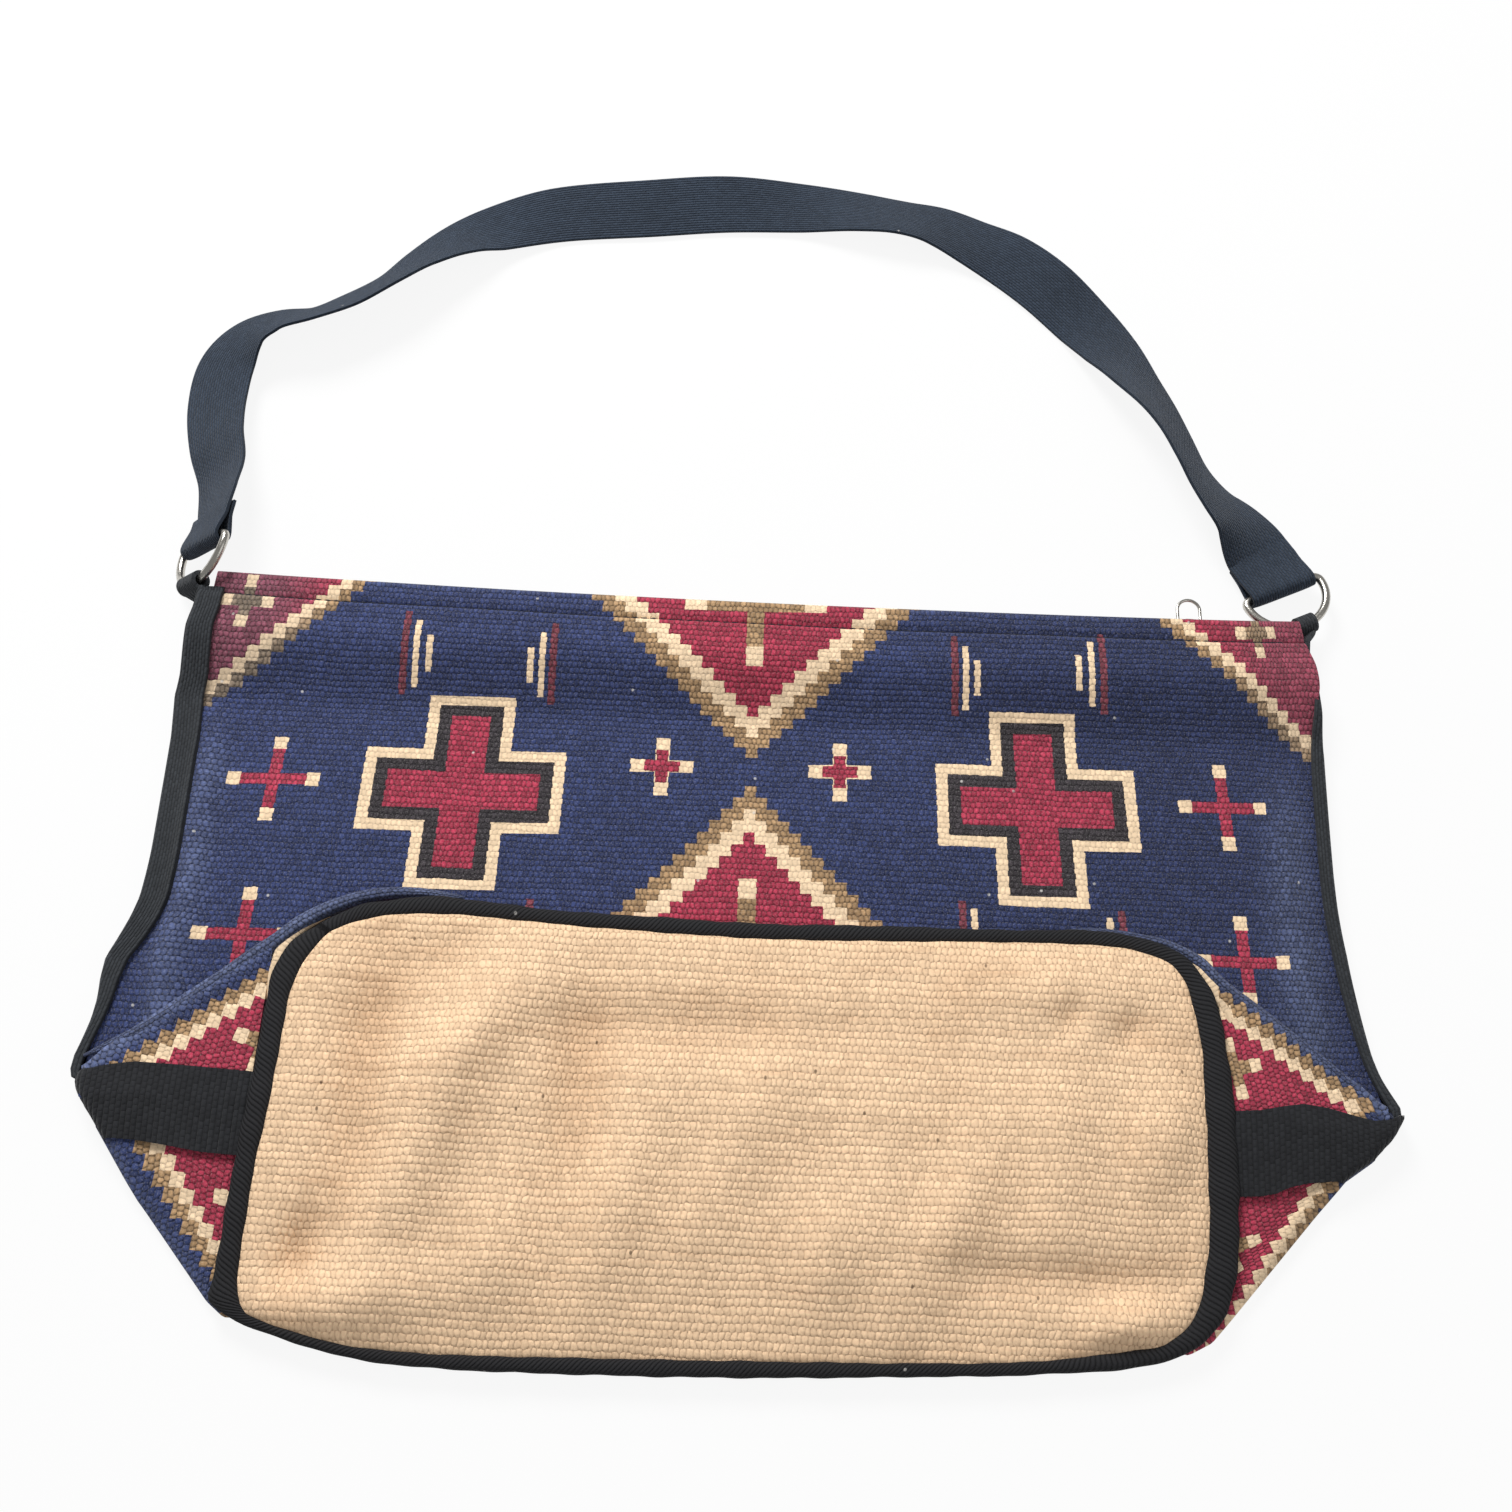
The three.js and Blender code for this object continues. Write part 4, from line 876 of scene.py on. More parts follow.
def lower_ear(side, thickness):
    """Lower half of a gusset: from under the webbing band round the slanting fold to the back cloth."""
    inner = LEFT_EAR_END if side < 0 else RIGHT_EAR_END
    shift_u, shift_v, turned = LEFT_EAR_PRINT if side < 0 else RIGHT_EAR_PRINT
    x = np.linspace(inner, EAR_OUTER_X + EAR_BEYOND, 62)[:, None]
    raised = EAR_END_RAISED * ease(inner + EAR_END_WIDTH, inner, x)
    fold_y = np.maximum(back_fold_y(x), BASE_BACK_Y) + FOLD_RADIUS + raised
    turn = arc(90.0, 270.0, 13)[None, :]
    top_y = mix(EAR_SPLIT_Y - CLEARANCE, fold_y + FOLD_RADIUS, np.linspace(0.0, 1.0, 26)[None, :])
    arc_y = fold_y + FOLD_RADIUS * np.cos(turn)
    lap_y = fold_y + np.linspace(1.5, 7.0, 4)[None, :]
    arc_z = back_z(x, fold_y) + LAYER_GAP + FOLD_RADIUS + FOLD_RADIUS * np.sin(turn)
    y = np.concatenate([top_y, arc_y, lap_y], axis=1)
    z = np.concatenate([ear_z(x, top_y), arc_z, back_z(x, lap_y) + LAYER_GAP], axis=1)
    x = np.broadcast_to(x, y.shape)
    length = along_rows(y, z)
    middle = top_y.shape[1] + turn.shape[1] // 2
    from_fold = length[:, middle, None] - length
    flat_y = back_fold_y(x) + np.abs(from_fold)
    back_x, back_y = mirrored_across(x, flat_y, TIP_HALF - LOWER_FOLD_INSET, TIP_Y, -BACK_SLOPE, -1.0)
    over = from_fold > 0.0
    turned = turned * np.maximum(EAR_PRINT_Y - y, 0.0) * over
    u = np.where(over, back_x, x) + shift_u - 0.2 * turned
    v = np.where(over, back_y, flat_y) + shift_v + BACK_PRINT_DROP + turned
    puff = puffed(from_fold, *LOWER_PUFF)
    wear = bell(from_fold, *LOWER_WEAR)
    return thick_sheet(as_it_lies(stacked(side * x, y, z + puff)), thickness, stacked(side * u, v), wear)


def corner_roll(table, at_u, at_v, reach, girth, worn_and_shaded):
    """A soft roll of cloth: an oval that swells and tapers along a path, in the print from one place on."""
    line = centripetal_curve(np.array(table, dtype=float), np.linspace(0.0, 1.0, ROLL_STATIONS))
    path, wide, high = line[:, :3], line[:, 3:4], line[:, 4:5]
    tangent = unit(np.gradient(path, axis=0))
    sideways = unit(np.cross(tangent, UP))
    turn = full_turn(ROLL_ROUND)[None, :]
    rings = path[:, None, :] + sideways[:, None, :] * (wide * np.cos(turn))[..., None]
    rings[..., 2] += high * np.sin(turn)
    along = along_path(path)[:, None]
    onward = np.clip(along - along[-1] / 2.0, -reach, reach)
    cloth = stacked(at_u + onward, at_v + (turn - math.pi) * girth)
    # Rubbed pale, more on the upper side: partly wear, partly a painted highlight on the roll's upper side
    top_wear_and_highlight = np.clip(np.sin(turn), 0.0, 1.0)
    return swept(rings, cloth, worn_and_shaded * (0.25 + 0.75 * top_wear_and_highlight), closed=False)


# Base


def level_y(x, y):
    """y with the base's askew lie taken out."""
    return y - LAY_SKEW * x * part(BASE_FRONT_Y, BASE_BACK_Y, y)


def seam_line(first, last, count):
    """Seam points between two stations of the table, evenly spaced along the binding's inner edge."""
    table = np.array(BASE_SEAM, dtype=float)
    around = np.concatenate([table[-2:], table, table[:3]])
    t = (2.0 + np.linspace(first, last, 900)) / (len(around) - 1)
    line = centripetal_curve(around, t)
    along = along_path(line[:, 2:])
    return resampled(line, along, np.linspace(0.0, along[-1], count))


def resampled(line, known, wanted):
    """A line's points at wanted places, from those at known places."""
    return np.column_stack([np.interp(wanted, known, column) for column in line.T])


def bunched(count):
    """Shares from 0 to 1, closer together at both ends."""
    return (1.0 - np.cos(np.pi * np.linspace(0.0, 1.0, count))) / 2.0


def base_relief(x, y):
    """Folds of the base, each a long soft bell: height * exp(-(along / length)^2 - (across / width)^2)."""
    height = np.zeros_like(x)
    for middle_x, middle_y, way, width, length, rise in BASE_FOLDS:
        c, s = math.cos(math.radians(way)), math.sin(math.radians(way))
        off_x, off_y = x - middle_x, y - middle_y
        along = off_x * c + off_y * s
        across = off_y * c - off_x * s
        height += rise * np.exp(-((along / length) ** 2) - (across / width) ** 2)
    return height


def base_sheet(thickness):
    """Base cloth: a patch drawn between the seam's four sides, rolled down at its edge and crowned inside.

    A point is the front and back sides mixed, plus the left and right sides mixed, less the corners mixed.
    """
    s, t = bunched(BASE_COLUMNS), bunched(BASE_ROWS)
    sides = []
    for number, shares in enumerate((s, t, s, t)):
        line = seam_line(SEAM_CORNERS[number], SEAM_CORNERS[number + 1], len(shares))[:, 2:]
        onward = line if number < 2 else line[::-1]
        sides.append(resampled(onward, np.linspace(0.0, 1.0, len(line)), shares))
    front, right, back, left = sides
    s, t = s[None, :, None], t[:, None, None]
    corners = mix(mix(front[0], front[-1], s), mix(back[0], back[-1], s), t)
    plan = mix(front[None], back[None], t) + mix(left[:, None], right[:, None], s) - corners
    x, y = plan[..., 0], plan[..., 1]
    width, depth = BASE_INNER
    edge = np.minimum(np.minimum(s, 1 - s) * width, np.minimum(t, 1 - t) * depth)[..., 0]
    rolled = EDGE_ROLL * np.sqrt(1.0 - (1.0 - part(0.0, EDGE_ROLL_REACH, edge)) ** 2) - EDGE_SUNK
    relief = base_relief(x, y) * ease(0.0, FOLDS_INSIDE, edge)
    z = binding_z(level_y(x, y)) + rolled + CROWN * ease(0.0, CROWN_REACH, edge) + relief
    # The folds' hollows carry painted shade, passed on as wear that tints the base tan
    return thick_sheet(stacked(x, y, z), thickness, plan, np.clip(-relief / FOLD_SHADED, 0.0, 1.0))


def binding_tube():
    """Binding: a boxy oval carried round the base's seam between its two edges, a little lumpy."""
    line = seam_line(0, len(BASE_SEAM), BINDING_STATIONS)[:-1]
    outer, inner = line[:, :2], line[:, 2:]
    out = unit(outer - inner)
    reach = np.linalg.norm(outer - inner, axis=1) / 2 + BINDING_LAP
    path = outer - out * reach[:, None]
    s = along_path(path)
    turn = full_turn(ROLL_ROUND)
    lumps = (1.0 + BINDING_LUMPS * np.sin(s / 5.0) + BINDING_LUMPS * np.sin(s / 2.3 + 1.0))[:, None]
    waves = (np.cos(turn), np.sin(turn))
    wide, high = (np.sign(wave) * np.abs(wave) ** BINDING_BOXY for wave in waves)
    flat = path[:, None, :] + out[:, None, :] * (wide * reach[:, None] * lumps)[..., None]
    z = binding_z(level_y(path[:, 0], path[:, 1]))[:, None] + high * BINDING_HEIGHT / 2 * lumps
    return swept(stacked(flat[..., 0], flat[..., 1], z), stacked(s[:, None], turn * BINDING_ROUND))


# Webbing


def side_wrap(side, shown, thickness):
    """Webbing over a side seam: a flange on top, a half round over the edge, and a flange underneath."""
    slope_y = np.linspace(WRAP_TOP_Y, DROP_END_Y, 26)
    y = np.concatenate([slope_y, np.linspace(DROP_END_Y, TIP_Y - 1.0, 60)[1:]])[:, None]
    slope = front_z(y + 0.5) - front_z(y - 0.5)
    top = front_z(y) + CLEARANCE + (HALF_CLOTH + HALF_WEBBING) * np.hypot(1.0, slope)
    low = np.full_like(top, HALF_WEBBING)
    flange = mix(shown, TIP_FLANGE, ease(*FLANGE_NARROWS, y))
    if side > 0:
        flange = mix(flange, np.minimum(flange, LAPPED_FLANGE), ease(LAPPED_Y, RIGHT_LAP[1], y))
        top = top - LAPPED_DROP * ease(*RIGHT_LAP, y)
    under = mix(UNDER_FLANGE, UNDER_FLANGE_MOUTH, ease(DROP_END_Y, UNDER_WRAP_Y, y)) + LAYER_GAP
    upper = mix(flange, WRAP_BEND, np.linspace(0.0, 1.0, 9)[None, :-1])
    turn = arc(90.0, -90.0, 15)[None, :]
    round_inset = WRAP_BEND - (WRAP_BEND - HALF_WEBBING) * np.abs(np.cos(turn)) ** 0.5
    lower = mix(WRAP_BEND, under, np.linspace(0.0, 1.0, 5)[None, 1:])
    inset = np.concatenate([upper, round_inset * np.ones_like(y), lower], axis=1)
    x = side * (side_half(y) - inset)
    top_z = top + front_relief(x[:, :upper.shape[1]], y)
    round_z = (top + low) / 2 + (top - low) / 2 * np.sin(turn)
    z = np.concatenate([top_z, round_z, low * np.ones_like(lower)], axis=1)
    cloth = stacked(y, along_rows(x, z))
    return thick_sheet(as_it_lies(stacked(x, y, z)), thickness, cloth)


def gusset_band(side, thickness):
    """Webbing across a gusset: flat from the base to the tip, where it curls round the outline to the table.

    Each thread runs at its own share between the upper and the lower edge, out to where it meets the outline.
    """
    top, low = (columns_of(edge) for edge in (LEFT_BAND if side < 0 else RIGHT_BAND))
    outline = columns_of(sorted((y, abs(x)) for x, y in LOWER_EDGE if side * x > 170.0))
    share = np.linspace(0.0, 1.0, BAND_THREADS)[:, None]
    trial = np.linspace(EAR_INNER_X, TIP_HALF + 2.0, 400)[None, :]
    trial_y = mix(np.interp(trial, *top), np.interp(trial, *low), share)
    inside = trial <= np.interp(trial_y, *outline)
    out = np.where(inside, trial, EAR_INNER_X).max(axis=1, keepdims=True)
    rounded = LEFT_BAND_ROUNDED if side < 0 else RIGHT_BAND_ROUNDED
    out = out + CLEARANCE - rounded * (1.0 - part(0.0, 0.3, share)) ** 2
    bend = mix(*BAND_BEND, share)
    turn = arc(90.0, -90.0, 15)[None, 1:]
    flat_x = mix(EAR_INNER_X - 4.0, out - bend, np.linspace(0.0, 1.0, 60)[None, :])
    curl_x = out - bend + (bend - HALF_WEBBING) * np.abs(np.cos(turn)) ** 0.7
    x = np.concatenate([flat_x, curl_x, out - BAND_UNDER], axis=1)
    y = mix(np.interp(x, *top), np.interp(x, *low), share)
    level = level_y(side * flat_x, y[:, :flat_x.shape[1]])
    flat_z = ear_z(np.clip(flat_x, EAR_INNER_X, EAR_OUTER_X), level) + HALF_CLOTH + CLEARANCE + HALF_WEBBING
    flat_z = flat_z + BAND_RIBS * np.cos(flat_x * BAND_RIBS_RATE) * ease(*BAND_RIBS_FADE, flat_x)
    curl_z = mix(HALF_WEBBING, flat_z[:, -1:], (np.sin(turn) + 1.0) / 2.0)
    z = np.concatenate([flat_z, curl_z, np.full_like(out, HALF_WEBBING)], axis=1)
    cloth = stacked(share * 30.0, along_rows(x, z))
    return thick_sheet(stacked(side * x, y, z), thickness, cloth)


def ring_vectors(place):
    """A ring's bar middle, and its depth, along and face directions."""
    depth, along = unit(np.array(place.depth)), unit(np.array(place.along))
    return np.array(place.eye) - depth * RING_REACH, depth, along, unit(np.cross(along, depth))


def ring_loop(side, place, wide, thickness):
    """The side webbing's end: an eye round the ring's bow and a neck back to the wrap."""
    _, depth, along, face = ring_vectors(place)
    eye = np.array(place.eye)
    turn = full_turn(36)[:, None]
    spoke = np.cos(turn) * depth + np.sin(turn) * face
    radius = np.repeat([EYE_RADIUS, EYE_RADIUS + EYE_WALL], 3)
    ends = np.array([-1.0, 0.0, 1.0, 1.0, 0.0, -1.0]) * wide
    rings = eye + spoke[:, None, :] * radius[None, :, None] + ends[None, :, None] * along
    eye_loop = swept(rings, stacked(turn * 3.3, ends))
    start = eye + depth * (EYE_RADIUS + HALF_WEBBING)
    end_y = WRAP_TOP_Y - NECK_BELOW
    finish = as_it_lies(np.array([side * (side_half(end_y) - HALF_WEBBING), end_y, MOUTH_Z]))
    corner = np.array([finish[0], mix(start[1], end_y, 0.45), mix(start[2], MOUTH_Z, 0.6)])
    t = np.linspace(0.0, 1.0, 13)[:, None]
    middle = np.where(t < 0.5, mix(start, corner, 2 * t), mix(corner, finish, 2 * t - 1))
    turned = np.where(t < 0.5, mix(0.0, 0.7, 2 * t), mix(0.7, 1.0, 2 * t - 1))
    raised = along * (np.sign(along[2]) or 1.0)
    direction = unit(mix(raised, np.array(UP), turned))
    reach = mix(NECK_START * wide, NECK_WIDTH, turned) / 2.0
    share = np.linspace(-1.0, 1.0, 7)
    grid = middle[:, None, :] + (direction * reach)[:, None, :] * share[None, :, None]
    return [eye_loop, thick_sheet(grid, thickness, stacked(t * 14.0, share * 3.0))]


def centripetal_curve(places, t):
    """A smooth curve through the places, each span eased by the square root of its neighbours' distances."""
    ends = np.concatenate([[2 * places[0] - places[1]], places, [2 * places[-1] - places[-2]]])
    position = t * (len(places) - 1)
    span = np.minimum(position.astype(int), len(places) - 2)
    w = (position - span)[:, None]
    p0, p1, p2, p3 = (ends[span + k] for k in range(4))
    d0, d1, d2 = (np.sqrt(np.linalg.norm(b - a, axis=1))[:, None] for a, b in ((p0, p1), (p1, p2), (p2, p3)))
    t1 = ((p1 - p0) / d0 - (p2 - p0) / (d0 + d1) + (p2 - p1) / d1) * d1
    t2 = ((p2 - p1) / d1 - (p3 - p1) / (d1 + d2) + (p3 - p2) / d2) * d1
    return p1 + t1 * w + (3 * (p2 - p1) - 2 * t1 - t2) * w**2 + (2 * (p1 - p2) + t1 + t2) * w**3


def even_curve(values, t):
    """A smooth curve through evenly spaced values, by the uniform rule of the same kind."""
    ends = np.concatenate([[values[0]], values, [values[-1]]])
    position = t * (len(values) - 1)
    span = np.minimum(position.astype(int), len(values) - 2)
    w = position - span
    p0, p1, p2, p3 = (ends[span + k] for k in range(4))
    v0, v1 = (p2 - p0) / 2, (p3 - p1) / 2
    return (2 * (p1 - p2) + v0 + v1) * w**3 + (3 * (p2 - p1) - 2 * v0 - v1) * w**2 + v0 * w + p1


def strap_end(place):
    """Middle points of the strap's loop round a ring's bar, from its tail to the start of the route."""
    bar, depth, along, face = ring_vectors(place)
    lift = face * np.sign(face[2])
    angle = arc(-90.0, 90.0, 15)
    under_out = np.array([17.0, 15.0, 13.0, 11.0, 9.0, 6.5, 4.0, 2.0])
    over_out = np.array([2.0, 4.0, 6.5, 9.0, 11.0, 14.0])
    under_up, over_up = (np.interp(out, LOOP_OUT, LOOP_HALF) for out in (under_out, over_out))
    out = np.concatenate([under_out, -LOOP_TURN * np.cos(angle), over_out])
    up = np.concatenate([-under_up, LOOP_TURN * np.sin(angle), over_up])
    return bar - out[:, None] * depth + up[:, None] * lift, np.broadcast_to(along, (len(out), 3))


def strap_stations():
    """The strap's middle line and the way across it, from the left tail to the right tail."""
    x, y, degrees = columns_of(STRAP_ROUTE)
    tilt = np.radians(degrees)
    height = STRAP_HALF * np.abs(np.sin(tilt)) + HALF_WEBBING * np.cos(tilt) + STRAP_CLEAR
    height += STRAP_LIFT * ease(*STRAP_LIFT_START, y) * (x > 0.0)
    places = map(ring_vectors, (LEFT_RING, RIGHT_RING))
    start, end = (bar - depth * STRAP_LEAVES for bar, depth, _, _ in places)
    t = np.linspace(0.0, 1.0, STRAP_STATIONS)
    middle = centripetal_curve(np.concatenate([[start], stacked(x, y, height), [end]]), t)
    tangent = unit(np.gradient(middle, axis=0))
    degrees = np.concatenate([[LEFT_RING.tilt], degrees, [RIGHT_RING.tilt]])
    tilts = np.radians(even_curve(degrees, t))[:, None]
    inward = unit(np.cross(tangent, UP))
    raised = unit(np.cross(inward, tangent))
    across = inward * np.cos(tilts) + raised * np.sin(tilts)
    left_line, left_across = strap_end(LEFT_RING)
    right_line, right_across = strap_end(RIGHT_RING)
    line = np.concatenate([left_line, middle, right_line[::-1]])
    ways = np.concatenate([left_across, across, right_across[::-1]])
    return line, ways


def strap_half(side, width, thickness):
    """Half of the strap as a sheet of webbing about its middle line, thinner at its edges."""
    line, ways = strap_stations()
    cut = len(line) // 2
    keep = slice(0, cut + 1) if side < 0 else slice(cut, None)
    share = np.linspace(-1.0, 1.0, STRAP_COLUMNS)
    reach = share * width / 2
    grid = line[:, None, :] + ways[:, None, :] * reach[None, :, None]
    cloth = stacked(along_path(line)[:, None], reach)
    thick = np.broadcast_to(thickness * (1.0 - 0.35 * np.abs(share) ** 6), grid.shape[:2])
    return thick_sheet(grid[keep], thick[keep], cloth[keep])


# Metal


def wire_loop(path, normal, radius, sides):
    """Round wire along a closed path in a plane: circles across the path."""
    tangent = unit(np.roll(path, -1, axis=0) - np.roll(path, 1, axis=0))
    outward = np.cross(tangent, normal)[:, None, :]
    turn = full_turn(sides)
    rings = path[:, None, :] + radius * (np.cos(turn)[:, None] * outward + np.sin(turn)[:, None] * normal)
    return swept(rings, stacked(along_path(path)[:, None], turn * radius))


def d_ring(place, wire):
    """A D-ring: a straight bar with small round corners, and half an ellipse for the bow."""
    bar, depth, along, face = ring_vectors(place)
    run = RING_HALF - RING_CORNER
    corner = arc(0.0, 90.0, 9)
    right_u, right_v = run + RING_CORNER * np.sin(corner), RING_CORNER * (1 - np.cos(corner))
    bow = arc(0.0, 180.0, 61)[1:-1]
    bow_v = RING_CORNER + (RING_REACH - RING_CORNER) * np.sin(bow)
    straight = np.linspace(-run, run, 15)[1:-1]
    u = np.concatenate([straight, right_u, RING_HALF * np.cos(bow), -right_u[::-1]])
    v = np.concatenate([np.zeros_like(straight), right_v, bow_v, right_v[::-1]])
    path = bar + u[:, None] * along + v[:, None] * depth
    return wire_loop(path, face, wire / 2, RING_ROUND)


def zip_pull(wire):
    """The zip's pull: a thin wire loop lying in the mouth, square at the lug and round at the free end."""
    half = (PULL_SIZE - wire) / 2
    turn = 1.2 * wire
    corner = arc(0.0, 90.0, 7)
    right_x, right_y = half - turn + turn * np.sin(corner), turn - turn * np.cos(corner)
    bow = arc(0.0, 180.0, 33)
    x = np.concatenate([[0.0], right_x, half * np.cos(bow), -right_x[::-1]])
    y = np.concatenate([[0.0], right_y, PULL_SIZE - half + half * np.sin(bow), right_y[::-1]])
    path = stacked(PULL_PLACE[0] + x, PULL_PLACE[1] + y, np.full_like(x, MOUTH_Z))
    return wire_loop(path, np.array(UP), wire / 2, PULL_ROUND)


# Stitching


def stitches(points, normals, length, radius):
    """A row of stitches: at each point a short round thread that dips into the cloth at both ends."""
    tangent = unit(np.gradient(points, axis=0))
    across = unit(np.cross(normals, tangent))
    s = np.linspace(-1.0, 1.0, 7)
    turn = full_turn(6)[None, :, None]
    along = (s * length / 2)[None, :, None]
    lift = (radius * (0.55 - 1.5 * s**2))[None, :, None]
    thin = radius * np.sqrt(np.maximum(1.0 - 0.75 * s**2, 0.05))
    middle = points[:, None, :] + tangent[:, None, :] * along + normals[:, None, :] * lift
    ring = np.cos(turn) * across[:, None, :] + np.sin(turn) * normals[:, None, :]
    rings = middle[:, :, None, :] + thin[None, :, None, None] * ring[:, None, :, :]
    return [swept(one, np.zeros(2), closed=False) for one in rings]


# Shader trees


class Tree:
    """Adds nodes to one shader tree and joins them, so that a finish reads as a list of steps."""

    def __init__(self, tree):
        self.tree = tree

    def add(self, kind, *inputs, **settings):
        """A node of a kind, with its settings and its first inputs."""
        node = self.tree.nodes.new("ShaderNode" + kind)
        for key, value in settings.items():
            setattr(node, key, value)
        for index, value in enumerate(inputs):
            self.join(value, node.inputs[index])
        return node

    def join(self, value, socket):
        """A value or another node's output into a socket."""
        if isinstance(value, bpy.types.NodeSocket):
            self.tree.links.new(value, socket)
        else:
            socket.default_value = value

    def feed(self, node, **inputs):
        """Values into a node's inputs by their names, with underscores for spaces."""
        for label, value in inputs.items():
            self.join(value, node.inputs[label.replace("_", " ")])
        return node

    def math(self, operation, *inputs):
        """One step of arithmetic."""
        return self.add("Math", *inputs, operation=operation).outputs[0]

    def sum(self, a, b):
        """Two values added."""
        return self.math("ADD", a, b)

    def less(self, value, taken):
        """A value less another."""
        return self.math("SUBTRACT", value, taken)

    def off(self, value, middle):
        """How far a value is from a middle."""
        return self.math("ABSOLUTE", self.less(value, middle))

    def times(self, value, *factors):
        """Values multiplied."""
        for factor in factors:
            value = self.math("MULTIPLY", value, factor)
        return value

    def line(self, value, factor, offset):
        """A value times a factor plus an offset."""
        return self.math("MULTIPLY_ADD", value, factor, offset)

    def ridges(self, value, pitch, power=1.0):
        """Rounded ridges, 0 in the grooves and 1 on top: |sin(pi value / pitch)| to a power."""
        wave = self.math("ABSOLUTE", self.math("SINE", self.times(value, math.pi / pitch)))
        return self.math("POWER", wave, power)

    def uneven(self, value, *patterns):
        """A value varied by patterns from 0 to 1, each by its own strength about 1."""
        for pattern, strength in patterns:
            value = self.times(value, self.line(pattern, strength, 1.0 - strength / 2.0))
        return value

    def tint(self, share, low, high):
        """A colour between two."""
        node = self.add("Mix", data_type="RGBA")
        for value, index in ((share, 0), (low, 6), (high, 7)):
            self.join(value, node.inputs[index])
        return node.outputs[2]

    def between(self, share, low, high):
        """A value between two."""
        node = self.add("Mix", data_type="FLOAT")
        for value, index in ((share, 0), (low, 2), (high, 3)):
            self.join(value, node.inputs[index])
        return node.outputs[0]

    def spread(self, value, low, high, to_low=0.0, to_high=1.0):
        """A value carried softly from one range to another and kept inside it."""
        node = self.add("MapRange", value, low, high, to_low, to_high, interpolation_type="SMOOTHSTEP")
        return node.outputs[0]

    def noise(self, vector, scale, detail=2.0, rough=0.5):
        """Soft noise from 0 to 1."""
        node = self.add("TexNoise", noise_dimensions="3D")
        return self.feed(node, Vector=vector, Scale=scale, Detail=detail, Roughness=rough).outputs["Fac"]

    def chance(self, a, b):
        """A number from 0 to 1 that a pair of whole numbers draws."""
        place = self.add("CombineXYZ", a, b, 0.0).outputs[0]
        return self.add("TexWhiteNoise", place, noise_dimensions="2D").outputs["Value"]

    def place(self, name, **inputs):
        """A node group in this tree, with its inputs."""
        node = self.add("Group", node_tree=bpy.data.node_groups[name])
        return self.feed(node, **inputs).outputs

    def stretched(self, vector, x, y, z=1.0):
        """A vector with its three parts multiplied."""
        return self.add("VectorMath", vector, (x, y, z), operation="MULTIPLY").outputs[0]

    def scaled(self, colour, value):
        """A colour made lighter or darker by a value."""
        grey = self.add("CombineXYZ", value, value, value).outputs[0]
        return self.add("VectorMath", colour, grey, operation="MULTIPLY").outputs[0]

    def bump(self, shader, height, distance):
        """A height in 0 to 1 as the shader's relief."""
        node = self.feed(self.add("Bump"), Strength=1.0, Distance=distance, Height=height)
        self.feed(shader, Normal=node.outputs[0])


def new_group(name, inputs, outputs):
    """An empty node group with named sockets: its tree, its inputs and its outputs."""
    group = bpy.data.node_groups.new(name, "ShaderNodeTree")
    for sockets, way in ((inputs, "INPUT"), (outputs, "OUTPUT")):
        for label, kind in sockets:
            group.interface.new_socket(name=label, in_out=way, socket_type="NodeSocket" + kind)
    entry = group.nodes.new("NodeGroupInput")
    leave = group.nodes.new("NodeGroupOutput")
    return Tree(group), entry.outputs, leave.inputs


def rgba(colour):
    """A colour with full cover."""
    return (*colour, 1.0)


def rep_weave_group():
    """Rep weave: wavy ribs of domed bumps, every second rib shifted by half a bump, each in its own shade."""
    t, into, out = new_group(
        "rep weave",
        [("Cloth", "Vector")] + [(name, "Float") for name in ("Row", "Bump", "Rib Depth", "Bump Depth")],
        (("Height", "Float"), ("Grain", "Float"), ("Rib", "Float"), ("Cell", "Vector")),
    )
    cloth = into["Cloth"]
    split = t.add("SeparateXYZ", cloth)
    bend, wavy, wobble = (
        t.times(t.less(t.noise(cloth, scale, 1.0), 0.5), reach)
        for scale, reach in ((38.0, 0.0022), (330.0, 0.6), (210.0, 1.1))
    )
    rib = t.sum(t.math("DIVIDE", t.sum(split.outputs[1], bend), into["Row"]), wavy)
    rib_number = t.math("FLOOR", rib)
    shift = t.times(t.math("FLOORED_MODULO", rib_number, 2.0), 0.5)
    bump = t.sum(t.sum(t.math("DIVIDE", split.outputs[0], into["Bump"]), shift), wobble)
    bump_number = t.math("FLOOR", bump)
    grain = t.chance(bump_number, rib_number)
    off_rib, off_bump = (t.math("POWER", t.line(t.math("FRACT", at), 2.0, -1.0), 2.0) for at in (rib, bump))
    fall = t.line(off_rib, into["Rib Depth"], t.times(off_bump, into["Bump Depth"]))
    height = t.math("SQRT", t.math("MAXIMUM", t.less(1.0, fall), 0.04))
    cell_x = t.times(t.less(t.sum(bump_number, 0.5), t.sum(shift, wobble)), into["Bump"])
    cell_y = t.less(t.times(t.less(t.sum(rib_number, 0.5), wavy), into["Row"]), bend)
    t.join(t.uneven(height, (grain, 0.3)), out["Height"])
    t.join(grain, out["Grain"])
    t.join(t.chance(rib_number, 3.0), out["Rib"])
    t.join(t.add("CombineXYZ", cell_x, cell_y, 0.0).outputs[0], out["Cell"])


# The print's measures in millimetres: u from its middle line, v along the cloth

# Side crosses: u, half the step of their column, half length and width, the cream ends' place and halves
SIDE_U = 193.2
SIDE_STEP = 32.45
SIDE_LONG = 13.4
SIDE_HALF = 2.4
SIDE_END = 15.8
SIDE_END_HALVES = (2.7, 2.8)
# The row that small crosses and corners are mirrored at; the small crosses' u and distance from that row
ROW_V = 3.35
SMALL_AT = (36.5, 71.45)
